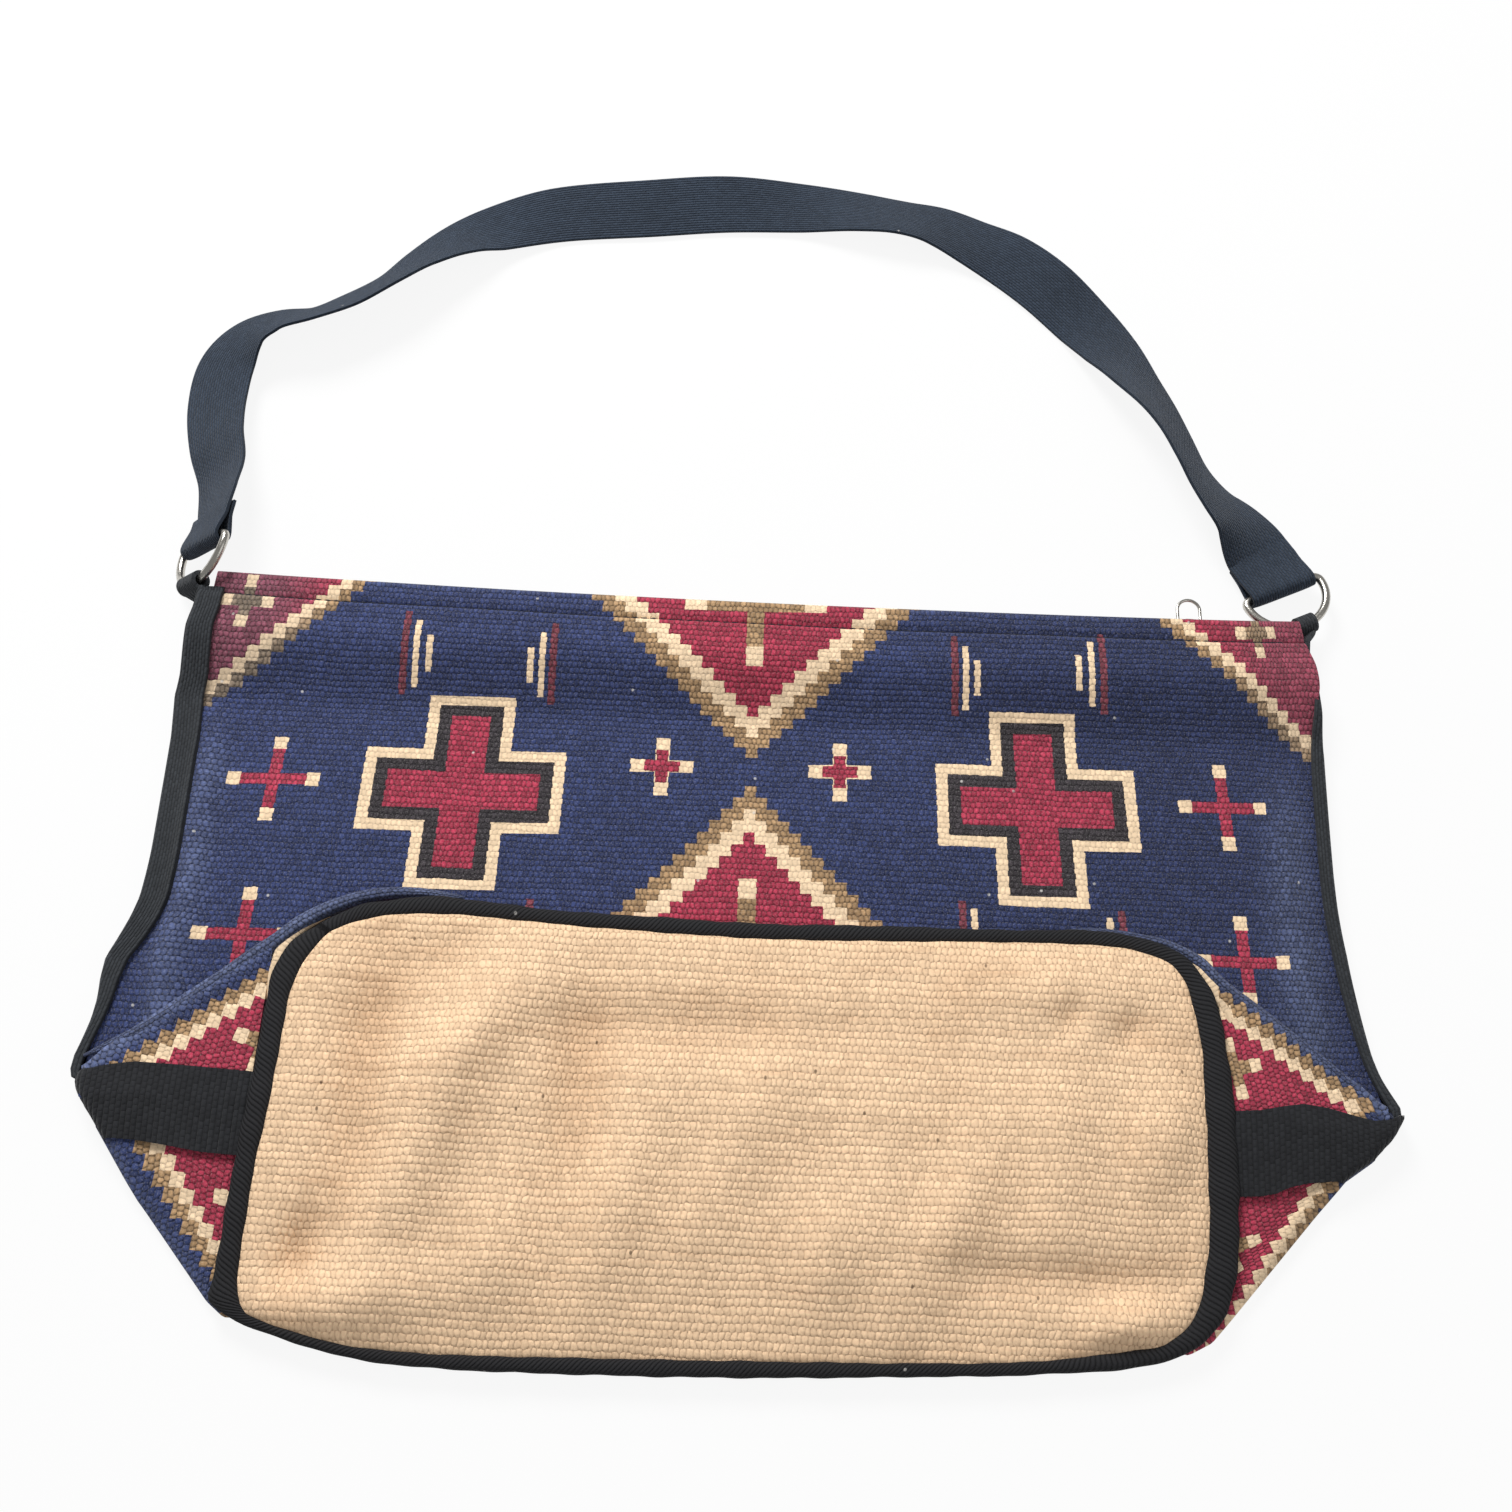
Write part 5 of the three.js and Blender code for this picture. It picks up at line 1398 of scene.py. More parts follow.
# Bars beside the large crosses: u, distance from their level, half length, half width, colour
BARS_V = 61.3
BARS = (
    (147.0, 60.0, 17.3, 1.5, "Rust"), (142.0, 59.4, 13.8, 1.3, "Cream"), (136.5, 59.2, 7.5, 1.3, "Cream"),
    (93.8, 55.9, 7.2, 1.3, "Cream"), (89.0, 56.5, 13.4, 1.3, "Cream"), (84.5, 57.2, 17.0, 1.5, "Rust"),
)
BARS_LOWERED = 4.5
# Large crosses: u and v, then half lengths along u and v, half width and colour from the outline inward
LARGE_AT = (116.8, 61.7)
LARGE = ((40.9, 42.2, 17.9, "Cream"), (36.2, 38.0, 13.3, "Ink"), (31.0, 33.2, 8.0, "Burgundy"))
# Middle diamonds: the gap between them; boxes inside: distance from the gap, halves along u and v, colour
GAP_V = 73.55
GAP_HALF = 6.55
DIAMOND_BOXES = (
    (50.4, 3.6, 4.4, "Cream"), (77.0, 30.4, 5.6, "Cream"), (77.0, 21.0, 5.6, "Olive"),
    (66.6, 3.6, 12.0, "Olive"),
)
# Corner diamonds: u of their middle, steps along u and v, and where each colour starts
CORNER_U = 240.0
CORNER_STEPS = (4.95, 4.7)
CORNER_STARTS = ((77.6, "Olive"), (83.5, "Cream"), (89.4, "Burgundy"))
CORNER_CROSS = (217.5, 134.2)


def print_group():
    """The print: crosses, bars and stepped diamonds, each a box or a stair of boxes about its own middle."""
    colours = ("Ground", "Burgundy", "Cream", "Olive", "Ink", "Rust")
    t, into, out = new_group(
        "geometric print", [("Cloth", "Vector")] + [(name, "Color") for name in colours],
        (("Color", "Color"), ("Ground Mask", "Float")),
    )
    split = t.add("SeparateXYZ", t.stretched(into["Cloth"], 1.0 / MM, 1.0 / MM))
    x, y = split.outputs[0], split.outputs[1]
    # The print leans over with its height, and falls a little from left to right
    lean = t.line(x, 0.000235, 0.016)
    rise = t.math("MINIMUM", t.math("MAXIMUM", t.less(y, 62.0), -70.0), 100.0)
    u = t.math("ABSOLUTE", t.sum(t.line(rise, lean, x), 1.6))
    v = t.line(x, -0.0175, y)

    def box(a, b, at_a, at_b, half_a, half_b):
        """1 inside a box about a place, 0 outside."""
        return t.times(t.math("COMPARE", a, at_a, half_a), t.math("COMPARE", b, at_b, half_b))

    def cross(a, b, at_a, at_b, long_a, long_b, half):
        """1 inside an upright cross about a place, 0 outside."""
        return t.math("MAXIMUM", box(a, b, at_a, at_b, long_a, half), box(a, b, at_a, at_b, half, long_b))

    def stairs(value, start, step):
        """The number of whole steps from a start."""
        return t.math("FLOOR", t.math("DIVIDE", t.less(value, start), step))

    # Small crosses at the sides, in a column
    column = t.off(t.off(v, -0.7), SIDE_STEP)
    layers = [(cross(u, column, SIDE_U, SIDE_STEP, SIDE_LONG, SIDE_LONG, SIDE_HALF), "Burgundy")]
    off_u, off_v = t.off(u, SIDE_U), t.off(column, SIDE_STEP)
    for at_u, at_v in ((SIDE_END, 0.0), (0.0, SIDE_END)):
        layers.append((box(off_u, off_v, at_u, at_v, *SIDE_END_HALVES), "Cream"))
    # Small crosses beside the middle
    middle_row = t.off(v, ROW_V)
    for long, half, name in ((12.9, 2.9, "Cream"), (7.2, 2.5, "Burgundy")):
        layers.append((cross(u, middle_row, *SMALL_AT, long, long, half), name))
    # Bars above and below the large crosses; the lower ones sit lower on the left, and the short ones too
    lower = t.math("LESS_THAN", v, 30.0)
    lower_left = t.times(lower, t.math("LESS_THAN", x, 0.0))
    level = t.line(lower_left, -BARS_LOWERED, t.off(v, BARS_V))
    short_level = t.line(lower, -BARS_LOWERED, level)
    for at, middle, half_length, half, name in BARS:
        height = short_level if half_length < 10.0 else level
        layers.append((box(u, height, at, middle, half, half_length), name))
    for long_u, long_v, half, name in LARGE:
        layers.append((cross(u, v, *LARGE_AT, long_u, long_v, half), name))
    # Diamonds on the middle line, with slightly other steps below the gap
    from_gap = t.off(v, GAP_V)
    below = t.math("LESS_THAN", v, GAP_V)
    step_u, step_v = t.between(below, 4.85, 4.6), t.between(below, 4.8, 5.0)
    stair_u = t.math("FLOOR", t.sum(t.math("DIVIDE", u, step_u), 0.5))
    stair = t.less(stairs(from_gap, GAP_HALF, step_v), stair_u)
    for start, name in ((-0.5, "Olive"), (1.5, "Cream"), (3.5, "Burgundy")):
        layers.append((t.math("GREATER_THAN", stair, start), name))
    for at, half_u, half_v, name in DIAMOND_BOXES:
        layers.append((box(u, from_gap, 0.0, at, half_u, half_v), name))
    # Diamonds at the corners
    corner_u = t.math("FLOOR", t.line(t.off(u, CORNER_U), 1.0 / CORNER_STEPS[0], 0.5))
    for start, name in CORNER_STARTS:
        corner = t.less(stairs(middle_row, start, CORNER_STEPS[1]), corner_u)
        layers.append((t.math("GREATER_THAN", corner, -0.5), name))
    cross_row = t.less(middle_row, t.line(t.math("SIGN", v), 2.3, CORNER_CROSS[1]))
    for long, name in ((12.0, "Cream"), (6.6, "Olive")):
        layers.append((cross(u, cross_row, CORNER_CROSS[0], 0.0, long, long, 2.6), name))
    colour, printed = into["Ground"], 0.0
    for mask, name in layers:
        colour = t.tint(mask, colour, into[name])
        printed = t.math("MAXIMUM", printed, mask)
    t.join(colour, out["Color"])
    t.join(t.less(1.0, printed), out["Ground Mask"])


def lint_group():
    """Lint: sparse round specks, as a mask."""
    t, into, out = new_group("lint", (("Cloth", "Vector"), ("Amount", "Float")), (("Mask", "Float"),))
    speck = t.add("TexVoronoi", feature="F1", voronoi_dimensions="2D")
    t.feed(speck, Vector=into["Cloth"], Scale=95.0)
    near = t.spread(speck.outputs["Distance"], 0.03, 0.075, 1.0, 0.0)
    chance = t.add("SeparateColor", speck.outputs["Color"]).outputs[0]
    t.join(t.times(near, t.math("LESS_THAN", chance, into["Amount"])), out["Mask"])


def webbing_group():
    """Webbing: ribs along its length, each broken into short floats."""
    t, into, out = new_group(
        "webbing weave", (("Cloth", "Vector"), ("Rib", "Float"), ("Float", "Float")),
        (("Height", "Float"), ("Grain", "Float")),
    )
    split = t.add("SeparateXYZ", into["Cloth"])
    rib = t.math("DIVIDE", split.outputs[1], into["Rib"])
    number = t.math("FLOOR", rib)
    shift = t.times(t.math("FLOORED_MODULO", number, 2.0), 0.5)
    run = t.sum(t.math("DIVIDE", split.outputs[0], into["Float"]), shift)
    t.join(t.times(t.ridges(rib, 1.0, 0.6), t.line(t.ridges(run, 1.0, 0.5), 0.5, 0.5)), out["Height"])
    t.join(t.chance(number, t.math("FLOOR", run)), out["Grain"])


def new_material(name):
    """An empty material: its tree and its shader."""
    material = bpy.data.materials.new(name)
    material.use_nodes = True
    material.node_tree.nodes.clear()
    t = Tree(material.node_tree)
    shader = t.add("BsdfPrincipled")
    t.add("OutputMaterial", shader.outputs[0])
    return t, shader


def object_place(t):
    """A point's place on the piece, in metres, for pieces without cloth coordinates."""
    return t.add("TexCoord").outputs["Object"]


def specked(t, base, cloth, colour, amount, strength):
    """A colour with a few specks of another."""
    mask = t.place("lint", Cloth=cloth, Amount=amount)["Mask"]
    return t.tint(t.times(mask, strength), base, rgba(colour))


def cloth_coordinates(t):
    """The piece's own cloth coordinates, in metres along and across the weave."""
    return t.add("UVMap", uv_map="cloth").outputs[0]


def wear_and_shading_of(t):
    """The piece's own wear with painted shading, from 0 to 1: painted highlights on the front's side ridges and
    rolls, painted shade in the base's fold hollows.
    """
    return t.add("Attribute", attribute_name="wear").outputs["Fac"]


def printed_cloth(sizes, colours):
    """Printed rep cotton: the print laid over the weave, rubbed pale on the folds, fuzzy, with lint; painted
    highlights on the side ridges and rolls, painted sheen in the fuzz, painted shade between the bumps and
    towards the right.
    """
    t, shader = new_material("printed_rep")
    cloth = cloth_coordinates(t)
    weave = t.place("rep weave", Cloth=cloth, Row=sizes.row, Bump=sizes.bump, Rib_Depth=0.6, Bump_Depth=0.75)
    stepped = t.add("Mix", data_type="VECTOR")
    for value, index in ((0.25, 0), (cloth, 4), (weave["Cell"], 5)):
        t.join(value, stepped.inputs[index])
    art = t.place(
        "geometric print", Cloth=stepped.outputs[1], Ground=rgba(colours.navy), Ink=rgba(colours.ink),
        Burgundy=rgba(colours.burgundy), Cream=rgba(colours.cream), Olive=rgba(colours.olive),
        Rust=rgba(colours.rust),
    )
    ground = art["Ground Mask"]
    patches = t.noise(cloth, 26.0, detail=3.0, rough=0.6)
    fine = t.noise(cloth, 900.0)
    fibre = t.noise(t.stretched(cloth, 420.0, 1700.0), 1.0)
    place = t.add("SeparateXYZ", cloth)
    # Rubbed pale on the ground's folds, more on top of the bumps; on the side ridges and on top of the rolls
    # this paleness is also a painted highlight
    rubbed_and_highlit = t.times(wear_and_shading_of(t), t.spread(patches, 0.25, 0.75, 0.45, 1.15), ground)
    rubbed_and_highlit = t.times(rubbed_and_highlit, t.spread(weave["Height"], 0.2, 0.9, 0.55, 1.0))
    base = t.tint(rubbed_and_highlit, art["Color"], rgba(colours.faded_and_highlit))
    # Tinted grey-blue in the two corners of the mouth, less on the cream and not on the ground
    pale = t.spread(t.add("SeparateColor", art["Color"]).outputs[1], 0.3, 0.7, 0.0, 0.6)
    left = t.spread(place.outputs[0], -0.17, -0.21, 0.0, 0.5)
    right = t.spread(place.outputs[0], 0.18, 0.22, 0.0, 0.3)
    mouth_corner_tint = t.times(t.sum(left, right), t.spread(place.outputs[1], 0.06, 0.1))
    mouth_corner_tint = t.times(mouth_corner_tint, t.less(1.0, t.math("MAXIMUM", ground, pale)))
    base = t.tint(mouth_corner_tint, base, rgba(colours.mouth_corner_tint))
    # Painted shade between the bumps, uneven, plainer on the cream; painted shade darkens the ground towards
    # the right
    value = t.line(weave["Height"], 0.95, 0.34)
    value = t.uneven(value, (weave["Grain"], 0.36), (weave["Rib"], 0.12))
    value = t.uneven(value, (fine, 0.6), (fibre, 0.6), (patches, 0.4))
    value = t.between(pale, value, 0.98)
    painted_shade_right = t.spread(place.outputs[0], 0.02, 0.16, 0.0, 0.25)
    base = t.scaled(base, t.times(value, t.less(1.0, t.times(painted_shade_right, ground))))
    # Pale fuzz in the lint colour: partly fibres, partly their painted sheen
    fuzz_and_sheen = t.spread(t.noise(cloth, 1700.0, rough=0.6), 0.48, 0.75, 0.0, 0.15)
    base = specked(t, t.tint(fuzz_and_sheen, base, rgba(colours.lint)), cloth, colours.lint, amount=0.035, strength=0.6)
    t.feed(shader, Base_Color=base, Roughness=0.93, Sheen_Weight=0.12, Specular_IOR_Level=0.25)
    relief = t.times(weave["Height"], t.less(1.0, pale))
    t.bump(shader, t.line(fine, 0.3, relief), 0.0007)


def natural_cloth(sizes, colours):
    """Natural rep cotton: unbleached bumps with tan streaks and dark specks, tan painted shade in the grooves
    and in the folds' hollows.
    """
    t, shader = new_material("natural_rep")
    cloth = cloth_coordinates(t)
    weave = t.place(
        "rep weave", Cloth=cloth, Row=sizes.base_row, Bump=sizes.base_bump, Rib_Depth=0.55, Bump_Depth=0.72,
    )
    fine = t.noise(cloth, 1000.0)
    streak = t.noise(t.stretched(cloth, 22.0, 260.0), 1.0)
    patches = t.noise(cloth, 17.0, detail=3.0, rough=0.6)
    # Tan painted shade in the grooves between the bumps
    groove_shade = t.spread(weave["Height"], 0.2, 0.7, 1.0, 0.0)
    share = t.line(groove_shade, 0.45, t.spread(streak, 0.5, 0.8, 0.0, 0.3))
    share = t.sum(share, t.spread(patches, 0.5, 0.8, 0.0, 0.3))
    # Painted shade in the folds' hollows, carried as wear, tints the base further towards tan
    share = t.math("MINIMUM", t.line(wear_and_shading_of(t), 0.4, share), 1.0)
    base = t.tint(share, rgba(colours.natural), rgba(colours.tan))
    value = t.line(weave["Grain"], 0.2, 0.96)
    base = t.scaled(base, t.uneven(value, (weave["Rib"], 0.1), (fine, 0.4), (patches, 0.16)))
    base = specked(t, base, t.stretched(cloth, 1.15, 0.75), colours.speck, amount=0.04, strength=0.75)
    t.feed(shader, Base_Color=base, Roughness=0.95, Specular_IOR_Level=0.15)
    t.bump(shader, t.line(fine, 0.3, weave["Height"]), 0.0007)


def webbing_cloth(name, rib, contrast, colour, lint_colour):
    """Black cotton webbing: ribs with short floats, uneven, with lint."""
    t, shader = new_material(name)
    cloth = cloth_coordinates(t)
    weave = t.place("webbing weave", Cloth=cloth, Rib=rib, Float=0.0026)
    fine = t.noise(cloth, 1100.0)
    patches = t.noise(cloth, 30.0, detail=3.0, rough=0.6)
    # Painted shade between the ribs and floats
    value = t.line(weave["Height"], contrast, 1.0 - 0.66 * contrast)
    value = t.uneven(value, (weave["Grain"], 0.3), (fine, 0.3), (patches, 0.4))
    base = t.scaled(tuple(colour), value)
    base = specked(t, base, cloth, lint_colour, amount=0.015, strength=0.45)
    t.feed(shader, Base_Color=base, Roughness=0.9, Specular_IOR_Level=0.2, Sheen_Weight=0.1)
    t.bump(shader, t.line(fine, 0.2, weave["Height"]), 0.0005)


def twill_cloth(colours):
    """Black twill tape: fine slanting ribs round the binding."""
    t, shader = new_material("twill_tape")
    cloth = cloth_coordinates(t)
    split = t.add("SeparateXYZ", cloth)
    wave = t.ridges(t.sum(split.outputs[0], split.outputs[1]), 0.0019, 0.7)
    fine = t.noise(cloth, 1200.0)
    # Painted shade in the grooves between the slanting ribs
    value = t.uneven(t.line(wave, 0.6, 0.6), (fine, 0.4))
    base = t.scaled(tuple(colours.twill), value)
    base = specked(t, base, cloth, colours.lint, amount=0.08, strength=0.4)
    t.feed(shader, Base_Color=base, Roughness=0.88, Specular_IOR_Level=0.2)
    t.bump(shader, t.line(fine, 0.2, wave), 0.0004)


def plated_wire(colours):
    """Nickel-plated wire: bright, with fine scratches and dull patches."""
    t, shader = new_material("plated_wire")
    place = object_place(t)
    dull = t.noise(place, 160.0, detail=3.0, rough=0.6)
    base = t.scaled(tuple(colours.nickel), t.line(dull, 0.3, 0.8))
    t.feed(shader, Base_Color=base, Metallic=1.0, Roughness=t.line(dull, 0.22, 0.14))
    t.bump(shader, t.noise(t.stretched(place, 300.0, 2600.0, 900.0), 1.0), 0.00006)


def tape_cloth(colours):
    """Zip tape: a tight herringbone."""
    t, shader = new_material("zip_tape")
    split = t.add("SeparateXYZ", object_place(t))
    zigzag = t.math("PINGPONG", split.outputs[1], 0.002)
    wave = t.ridges(t.sum(split.outputs[0], zigzag), 0.0011)
    # Painted shade in the herringbone's grooves
    t.feed(shader, Base_Color=t.scaled(tuple(colours.zip_cloth), t.line(wave, 0.5, 0.7)), Roughness=0.92)
    t.bump(shader, wave, 0.0003)


def tooth_plastic(colours):
    """Zip teeth: moulded plastic, a little uneven."""
    t, shader = new_material("zip_tooth")
    grain = t.noise(object_place(t), 700.0)
    base = t.scaled(tuple(colours.zip_tooth), t.line(grain, 0.4, 0.8))
    t.feed(shader, Base_Color=base, Roughness=t.line(grain, 0.2, 0.4))
    t.bump(shader, grain, 0.0001)


def sewing_thread(colours):
    """Sewing thread: two plies twisted together."""
    t, shader = new_material("sewing_thread")
    split = t.add("SeparateXYZ", object_place(t))
    twist = t.sum(t.sum(split.outputs[0], split.outputs[1]), split.outputs[2])
    wave = t.ridges(twist, 0.0009)
    # Painted shade between the two plies
    t.feed(shader, Base_Color=t.scaled(tuple(colours.thread), t.line(wave, 0.5, 0.7)), Roughness=0.8)
    t.bump(shader, wave, 0.0001)


def finish_named(name):
    """A finish that has been made, by name."""
    material = bpy.data.materials.get(name)
    if material is None:
        raise RuntimeError("The finish %s isn't made yet" % name)
    return material


# Operators


class BAG_OT_finishes(bpy.types.Operator):
    """Makes the weaves, the print and every finish"""

    bl_idname = "bag.finishes"
    bl_label = "Finishes"

    def execute(self, context):
        sizes, colours = context.scene.bag_sizes, context.scene.bag_colours
        for make in (rep_weave_group, print_group, lint_group, webbing_group):
            make()
        printed_cloth(sizes, colours)
        natural_cloth(sizes, colours)
        for name, rib, contrast, colour in (
            ("strap_webbing", 0.00125, 0.6, colours.webbing), ("edge_webbing", 0.00125, 0.5, colours.edge),
            ("gusset_webbing", 0.0021, 0.4, colours.band),
        ):
            webbing_cloth(name, rib, contrast, colour, colours.lint)
        twill_cloth(colours)
        plated_wire(colours)
        tape_cloth(colours)
        tooth_plastic(colours)
        sewing_thread(colours)
        return {"FINISHED"}


class BAG_OT_printed_cloth(bpy.types.Operator):
    """Makes the front and back cloth with their gussets"""

    bl_idname = "bag.printed_cloth"
    bl_label = "Printed cloth"

    def execute(self, context):
        thickness = context.scene.bag_sizes.cloth / MM
        rolls = [
            corner_roll(LEFT_ROLL, UNPRINTED_X, 0.0, reach=200.0, girth=4.0, worn_and_shaded=0.75),
            corner_roll(RIGHT_ROLL, UNPRINTED_X, 0.0, reach=200.0, girth=4.0, worn_and_shaded=0.6),
            corner_roll(LEFT_SLIVER, *PALE_PRINT, reach=13.0, girth=0.5, worn_and_shaded=0.0),
            corner_roll(RIGHT_SLIVER, *PALE_PRINT, reach=13.0, girth=0.5, worn_and_shaded=0.0),
        ]
        front_shapes = [front_sheet(thickness), upper_ear(-1, thickness), upper_ear(1, thickness), *rolls]
        back_shapes = [back_sheet(thickness), lower_ear(-1, thickness), lower_ear(1, thickness)]
        for name, shapes, rests in (
            ("front", front_shapes, "back_cloth"), ("back", back_shapes, "side_webbing_left"),
        ):
            piece = make_piece(
                name + "_cloth", shapes, "printed_rep", stands_for=(name + "_panel",),
            )
            surface_area(piece)
        return {"FINISHED"}


class BAG_OT_base(bpy.types.Operator):
    """Makes the base and the binding round it"""

    bl_idname = "bag.base"
    bl_label = "Base and binding"

    def execute(self, context):
        sheet = base_sheet(context.scene.bag_sizes.cloth / MM)
        base = make_piece("base_cloth", [sheet], "natural_rep", stands_for=("base_panel",))
        surface_area(base)
        make_piece("binding", [binding_tube()], "twill_tape", stands_for=("base_binding",))
        return {"FINISHED"}


class BAG_OT_side_webbing(bpy.types.Operator):
    """Makes the webbing over the side seams, across the gussets and round the rings"""

    bl_idname = "bag.side_webbing"
    bl_label = "Side webbing"

    def execute(self, context):
        thickness = context.scene.bag_sizes.webbing / MM
        for name, side, shown, place, wide in (
            ("left", -1, LEFT_FLANGE, LEFT_RING, LEFT_EYE), ("right", 1, RIGHT_FLANGE, RIGHT_RING, RIGHT_EYE),
        ):
            wrap = [side_wrap(side, shown, thickness), *ring_loop(side, place, wide, thickness)]
            make_piece("side_wrap_" + name, wrap, "edge_webbing")
            band = [gusset_band(side, thickness)]
            make_piece(
                "gusset_band_" + name, band, "gusset_webbing",
                stands_for=("side_webbing_" + name,),
            )
        return {"FINISHED"}


class BAG_OT_strap(bpy.types.Operator):
    """Makes the shoulder strap in two halves, each looped round its ring"""

    bl_idname = "bag.strap"
    bl_label = "Shoulder strap"

    def execute(self, context):
        sizes = context.scene.bag_sizes
        width, thickness = sizes.webbing_width / MM, sizes.webbing / MM
        for name, side, place, end in (
            ("left", -1, LEFT_RING, LEFT_BEND_END), ("right", 1, RIGHT_RING, RIGHT_BEND_END),
        ):
            half = [strap_half(side, width, thickness)]
            piece = make_piece(
                "strap_" + name, half, "strap_webbing", body=None,
                stands_for=("shoulder_strap",),
            )
            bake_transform(piece)
        return {"FINISHED"}


class BAG_OT_rings(bpy.types.Operator):
    """Makes the two D-rings"""

    bl_idname = "bag.rings"
    bl_label = "Rings"

    def execute(self, context):
        wire = context.scene.bag_sizes.ring_wire / MM
        for name, place in (("left", LEFT_RING), ("right", RIGHT_RING)):
            make_piece(
                "d_ring_" + name, [d_ring(place, wire)], "plated_wire",
                body=name + "_ring", stands_for=("ring_" + name,),
            )
        return {"FINISHED"}


class BAG_OT_zip(bpy.types.Operator):
    """Makes the zip's wire pull and finishes its tapes, teeth and slider"""

    bl_idname = "bag.zip"
    bl_label = "Zip"

    def execute(self, context):
        loop = zip_pull(context.scene.bag_sizes.pull_wire / MM)
        make_piece("wire_pull", [loop], "plated_wire", body="pull", stands_for=("zip_pull",))
        for node, finish in (
            ("zip_tape_front", "zip_tape"), ("zip_tape_back", "zip_tape"), ("zip_teeth_front", "zip_tooth"),
            ("zip_teeth_back", "zip_tooth"), ("zip_slider", "plated_wire"),
        ):
            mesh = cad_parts[node].data
            mesh.materials.clear()
            mesh.materials.append(finish_named(finish))
        return {"FINISHED"}


class BAG_OT_stitching(bpy.types.Operator):
    """Makes the stitching along the front hem"""

    bl_idname = "bag.stitching"
    bl_label = "Stitching"

    def execute(self, context):
        sizes = context.scene.bag_sizes
        pitch, radius = sizes.stitch / MM, sizes.thread / MM / 2
        x = np.arange(-STITCHED_HALF, STITCHED_HALF, pitch)
        y = np.full_like(x, HEM_STITCH_Y)
        z = FRONT_LIP_Z + HALF_CLOTH + front_relief(x, y)
        points = as_it_lies(stacked(x, y + mouth_sag(x, y), z))
        normals = np.broadcast_to(UP, points.shape)
        row = stitches(points, normals, pitch * STITCH_SHARE, radius)
        make_piece("hem_stitching", row, "sewing_thread")
        return {"FINISHED"}


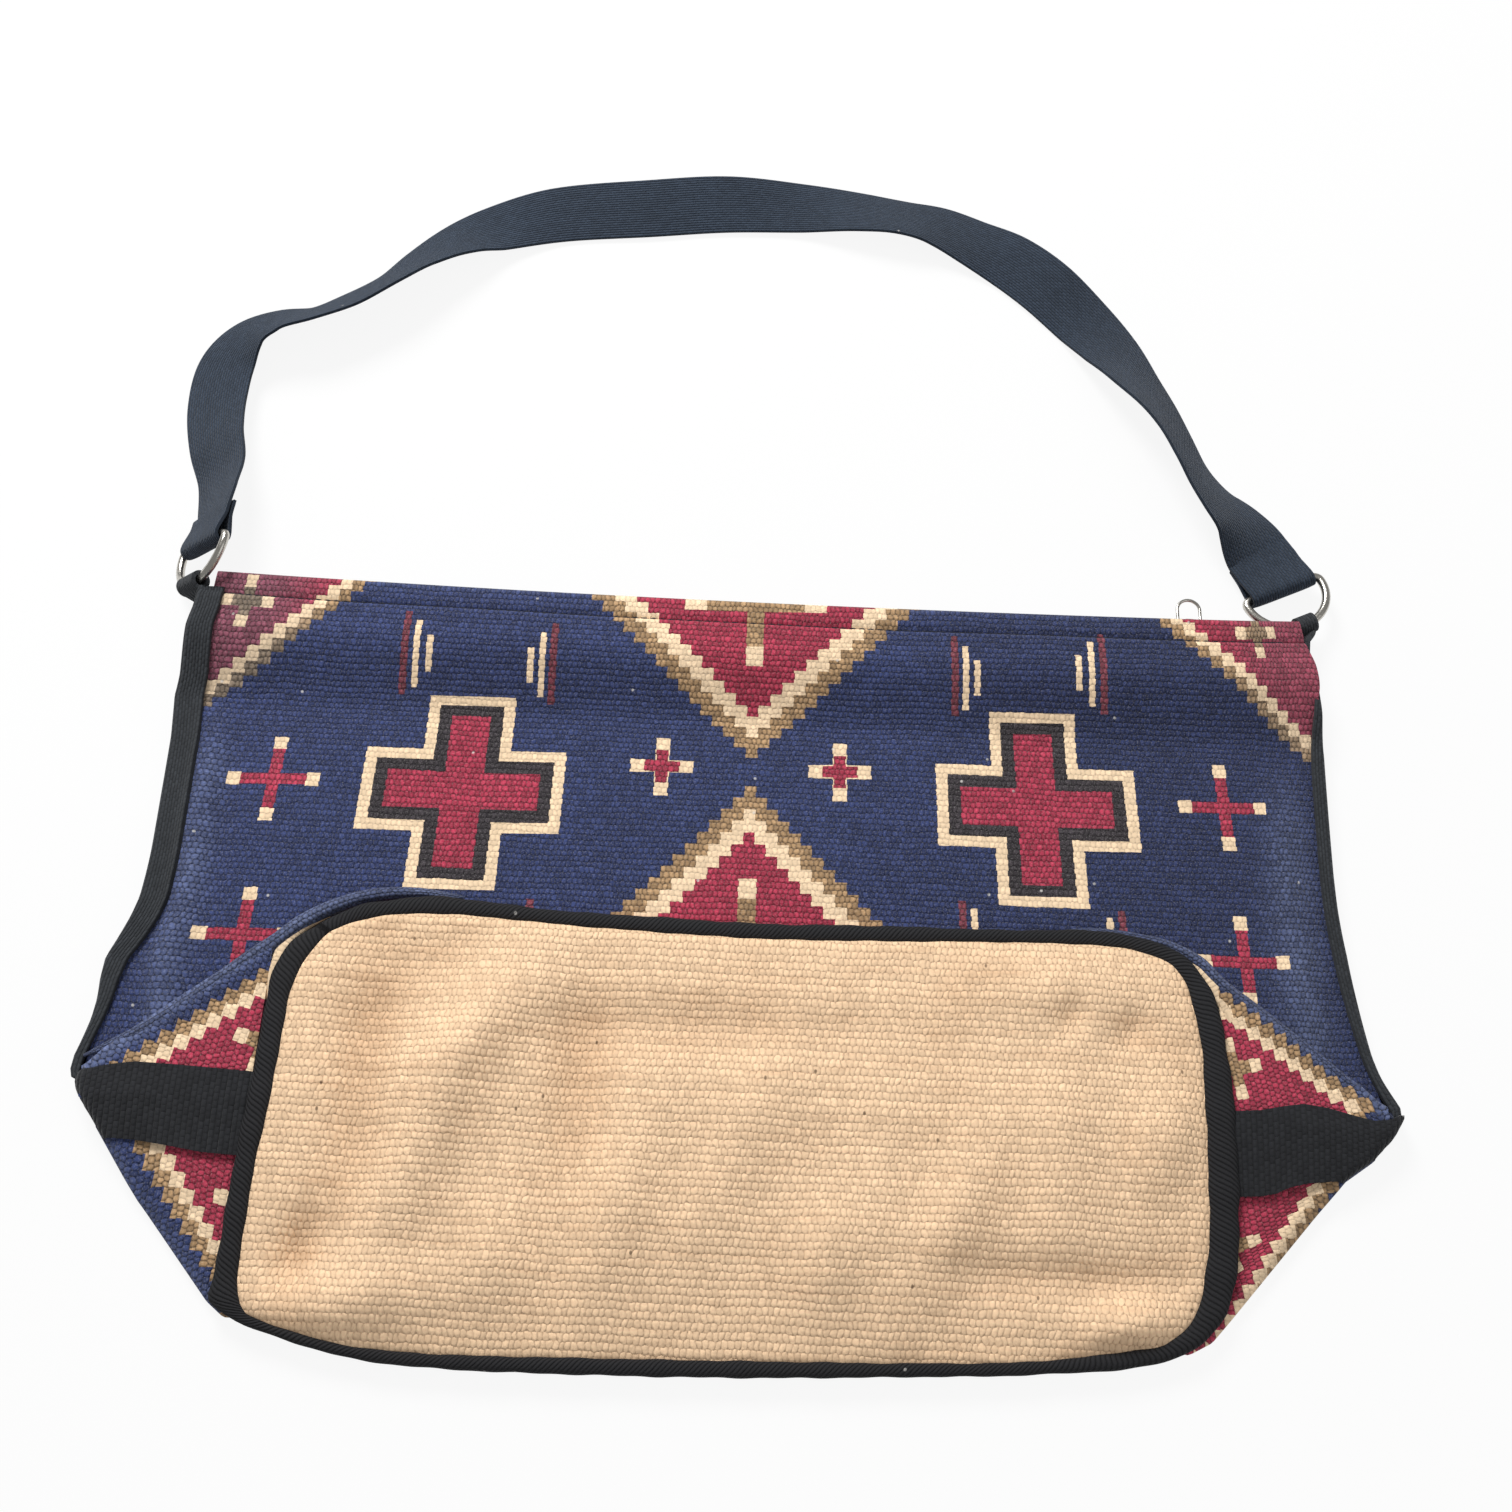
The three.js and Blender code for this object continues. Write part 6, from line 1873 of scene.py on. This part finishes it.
class BAG_OT_stage(bpy.types.Operator):
    """Makes the floor, the lights, the world and the camera"""

    bl_idname = "bag.stage"
    bl_label = "Stage"

    def execute(self, context):
        scene = context.scene
        scene.view_settings.view_transform = "Standard"
        self.floor(scene)
        self.lights(scene)
        self.camera(scene)
        return {"FINISHED"}

    def floor(self, scene):
        """A pale table that shows white and keeps the bag's shadow."""
        t, shader = new_material("floor")
        t.feed(shader, Base_Color=rgba(scene.bag_colours.floor), Roughness=0.9)
        path = t.add("LightPath").outputs
        seen = t.math("MAXIMUM", path["Is Glossy Ray"], path["Is Transmission Ray"])
        seen = t.math("MAXIMUM", path["Is Camera Ray"], seen)
        white = t.add("Emission", (1.0, 1.0, 1.0, 1.0), 1.0)
        both = t.add("MixShader", t.times(seen, FLOOR_WHITE), shader.outputs[0], white.outputs[0])
        leave = next(node for node in t.tree.nodes if node.type == "OUTPUT_MATERIAL")
        t.join(both.outputs[0], leave.inputs[0])
        mesh = bpy.data.meshes.new("floor")
        corners = ((-1, -1), (1, -1), (1, 1), (-1, 1))
        mesh.from_pydata([(FLOOR_HALF * x, FLOOR_HALF * y, FLOOR_Z) for x, y in corners], [], [(0, 1, 2, 3)])
        mesh.materials.append(finish_named("floor"))
        floor = bpy.data.objects.new("floor", mesh)
        scene.collection.objects.link(floor)

    def lights(self, scene):
        """A wide soft key from the upper left, a weaker fill from the right, and an even pale surround."""
        world = bpy.data.worlds.new("surround")
        scene.world = world
        world.use_nodes = True
        background = world.node_tree.nodes["Background"]
        background.inputs[0].default_value = (1.0, 1.0, 1.0, 1.0)
        background.inputs[1].default_value = SURROUND
        for name, place, size, watts in LIGHTS:
            lamp = bpy.data.lights.new(name, "AREA")
            lamp.shape = "DISK"
            lamp.size = size
            lamp.energy = watts
            light = bpy.data.objects.new(name, lamp)
            light.location = place
            aim = Vector(LIGHTS_AIM) - Vector(place)
            light.rotation_euler = aim.to_track_quat("-Z", "Y").to_euler()
            scene.collection.objects.link(light)

    def camera(self, scene):
        """The photograph's own view: from above the base, leaning towards the strap and turned a little."""
        data = bpy.data.cameras.new("photo_view")
        data.sensor_width = CAMERA_SENSOR
        data.lens = CAMERA_LENS
        data.clip_start, data.clip_end = 0.01, 50.0
        camera = bpy.data.objects.new("photo_view", data)
        lean, roll = math.radians(CAMERA_LEAN), math.radians(CAMERA_ROLL)
        ahead = Vector((0.0, math.sin(lean), -math.cos(lean)))
        upward = Vector((0.0, math.cos(lean), math.sin(lean)))
        sideways = Vector((1.0, 0.0, 0.0))
        right = math.cos(roll) * sideways + math.sin(roll) * upward
        up = -math.sin(roll) * sideways + math.cos(roll) * upward
        turn = Matrix((right, up, -ahead)).transposed().to_4x4()
        camera.matrix_world = Matrix.Translation(CAMERA_PLACE) @ turn
        scene.collection.objects.link(camera)
        scene.camera = camera


PIECES = (
    BAG_OT_finishes, BAG_OT_stage, BAG_OT_printed_cloth, BAG_OT_base, BAG_OT_side_webbing, BAG_OT_strap,
    BAG_OT_rings, BAG_OT_zip, BAG_OT_stitching,
)


class BAG_PT_sidebar(bpy.types.Panel):
    """Lists the bag's pieces, sizes and colours"""

    bl_idname = "BAG_PT_sidebar"
    bl_label = "Shoulder bag"
    bl_space_type = "VIEW_3D"
    bl_region_type = "UI"
    bl_category = "Bag"

    def draw(self, context):
        for operator in PIECES:
            self.layout.operator(operator.bl_idname)
        for settings in (context.scene.bag_sizes, context.scene.bag_colours):
            box = self.layout.box()
            for name in settings.__annotations__:
                box.prop(settings, name)


CLASSES = (BagSizes, BagColours, *PIECES, BAG_PT_sidebar)


def register():
    """Makes the classes known to Blender and hangs the settings on the scene."""
    for one in CLASSES:
        bpy.utils.register_class(one)
    bpy.types.Scene.bag_sizes = bpy.props.PointerProperty(type=BagSizes)
    bpy.types.Scene.bag_colours = bpy.props.PointerProperty(type=BagColours)


def unregister():
    """Takes the settings and classes away again."""
    del bpy.types.Scene.bag_colours
    del bpy.types.Scene.bag_sizes
    for one in reversed(CLASSES):
        bpy.utils.unregister_class(one)


def main():
    """Builds the bag piece by piece."""
    register()
    bpy.ops.bag.finishes()
    bpy.ops.bag.stage()
    bpy.ops.bag.printed_cloth()
    bpy.ops.bag.base()
    bpy.ops.bag.side_webbing()
    bpy.ops.bag.strap()
    bpy.ops.bag.rings()
    bpy.ops.bag.zip()
    bpy.ops.bag.stitching()


if __name__ == "__main__":
    main()
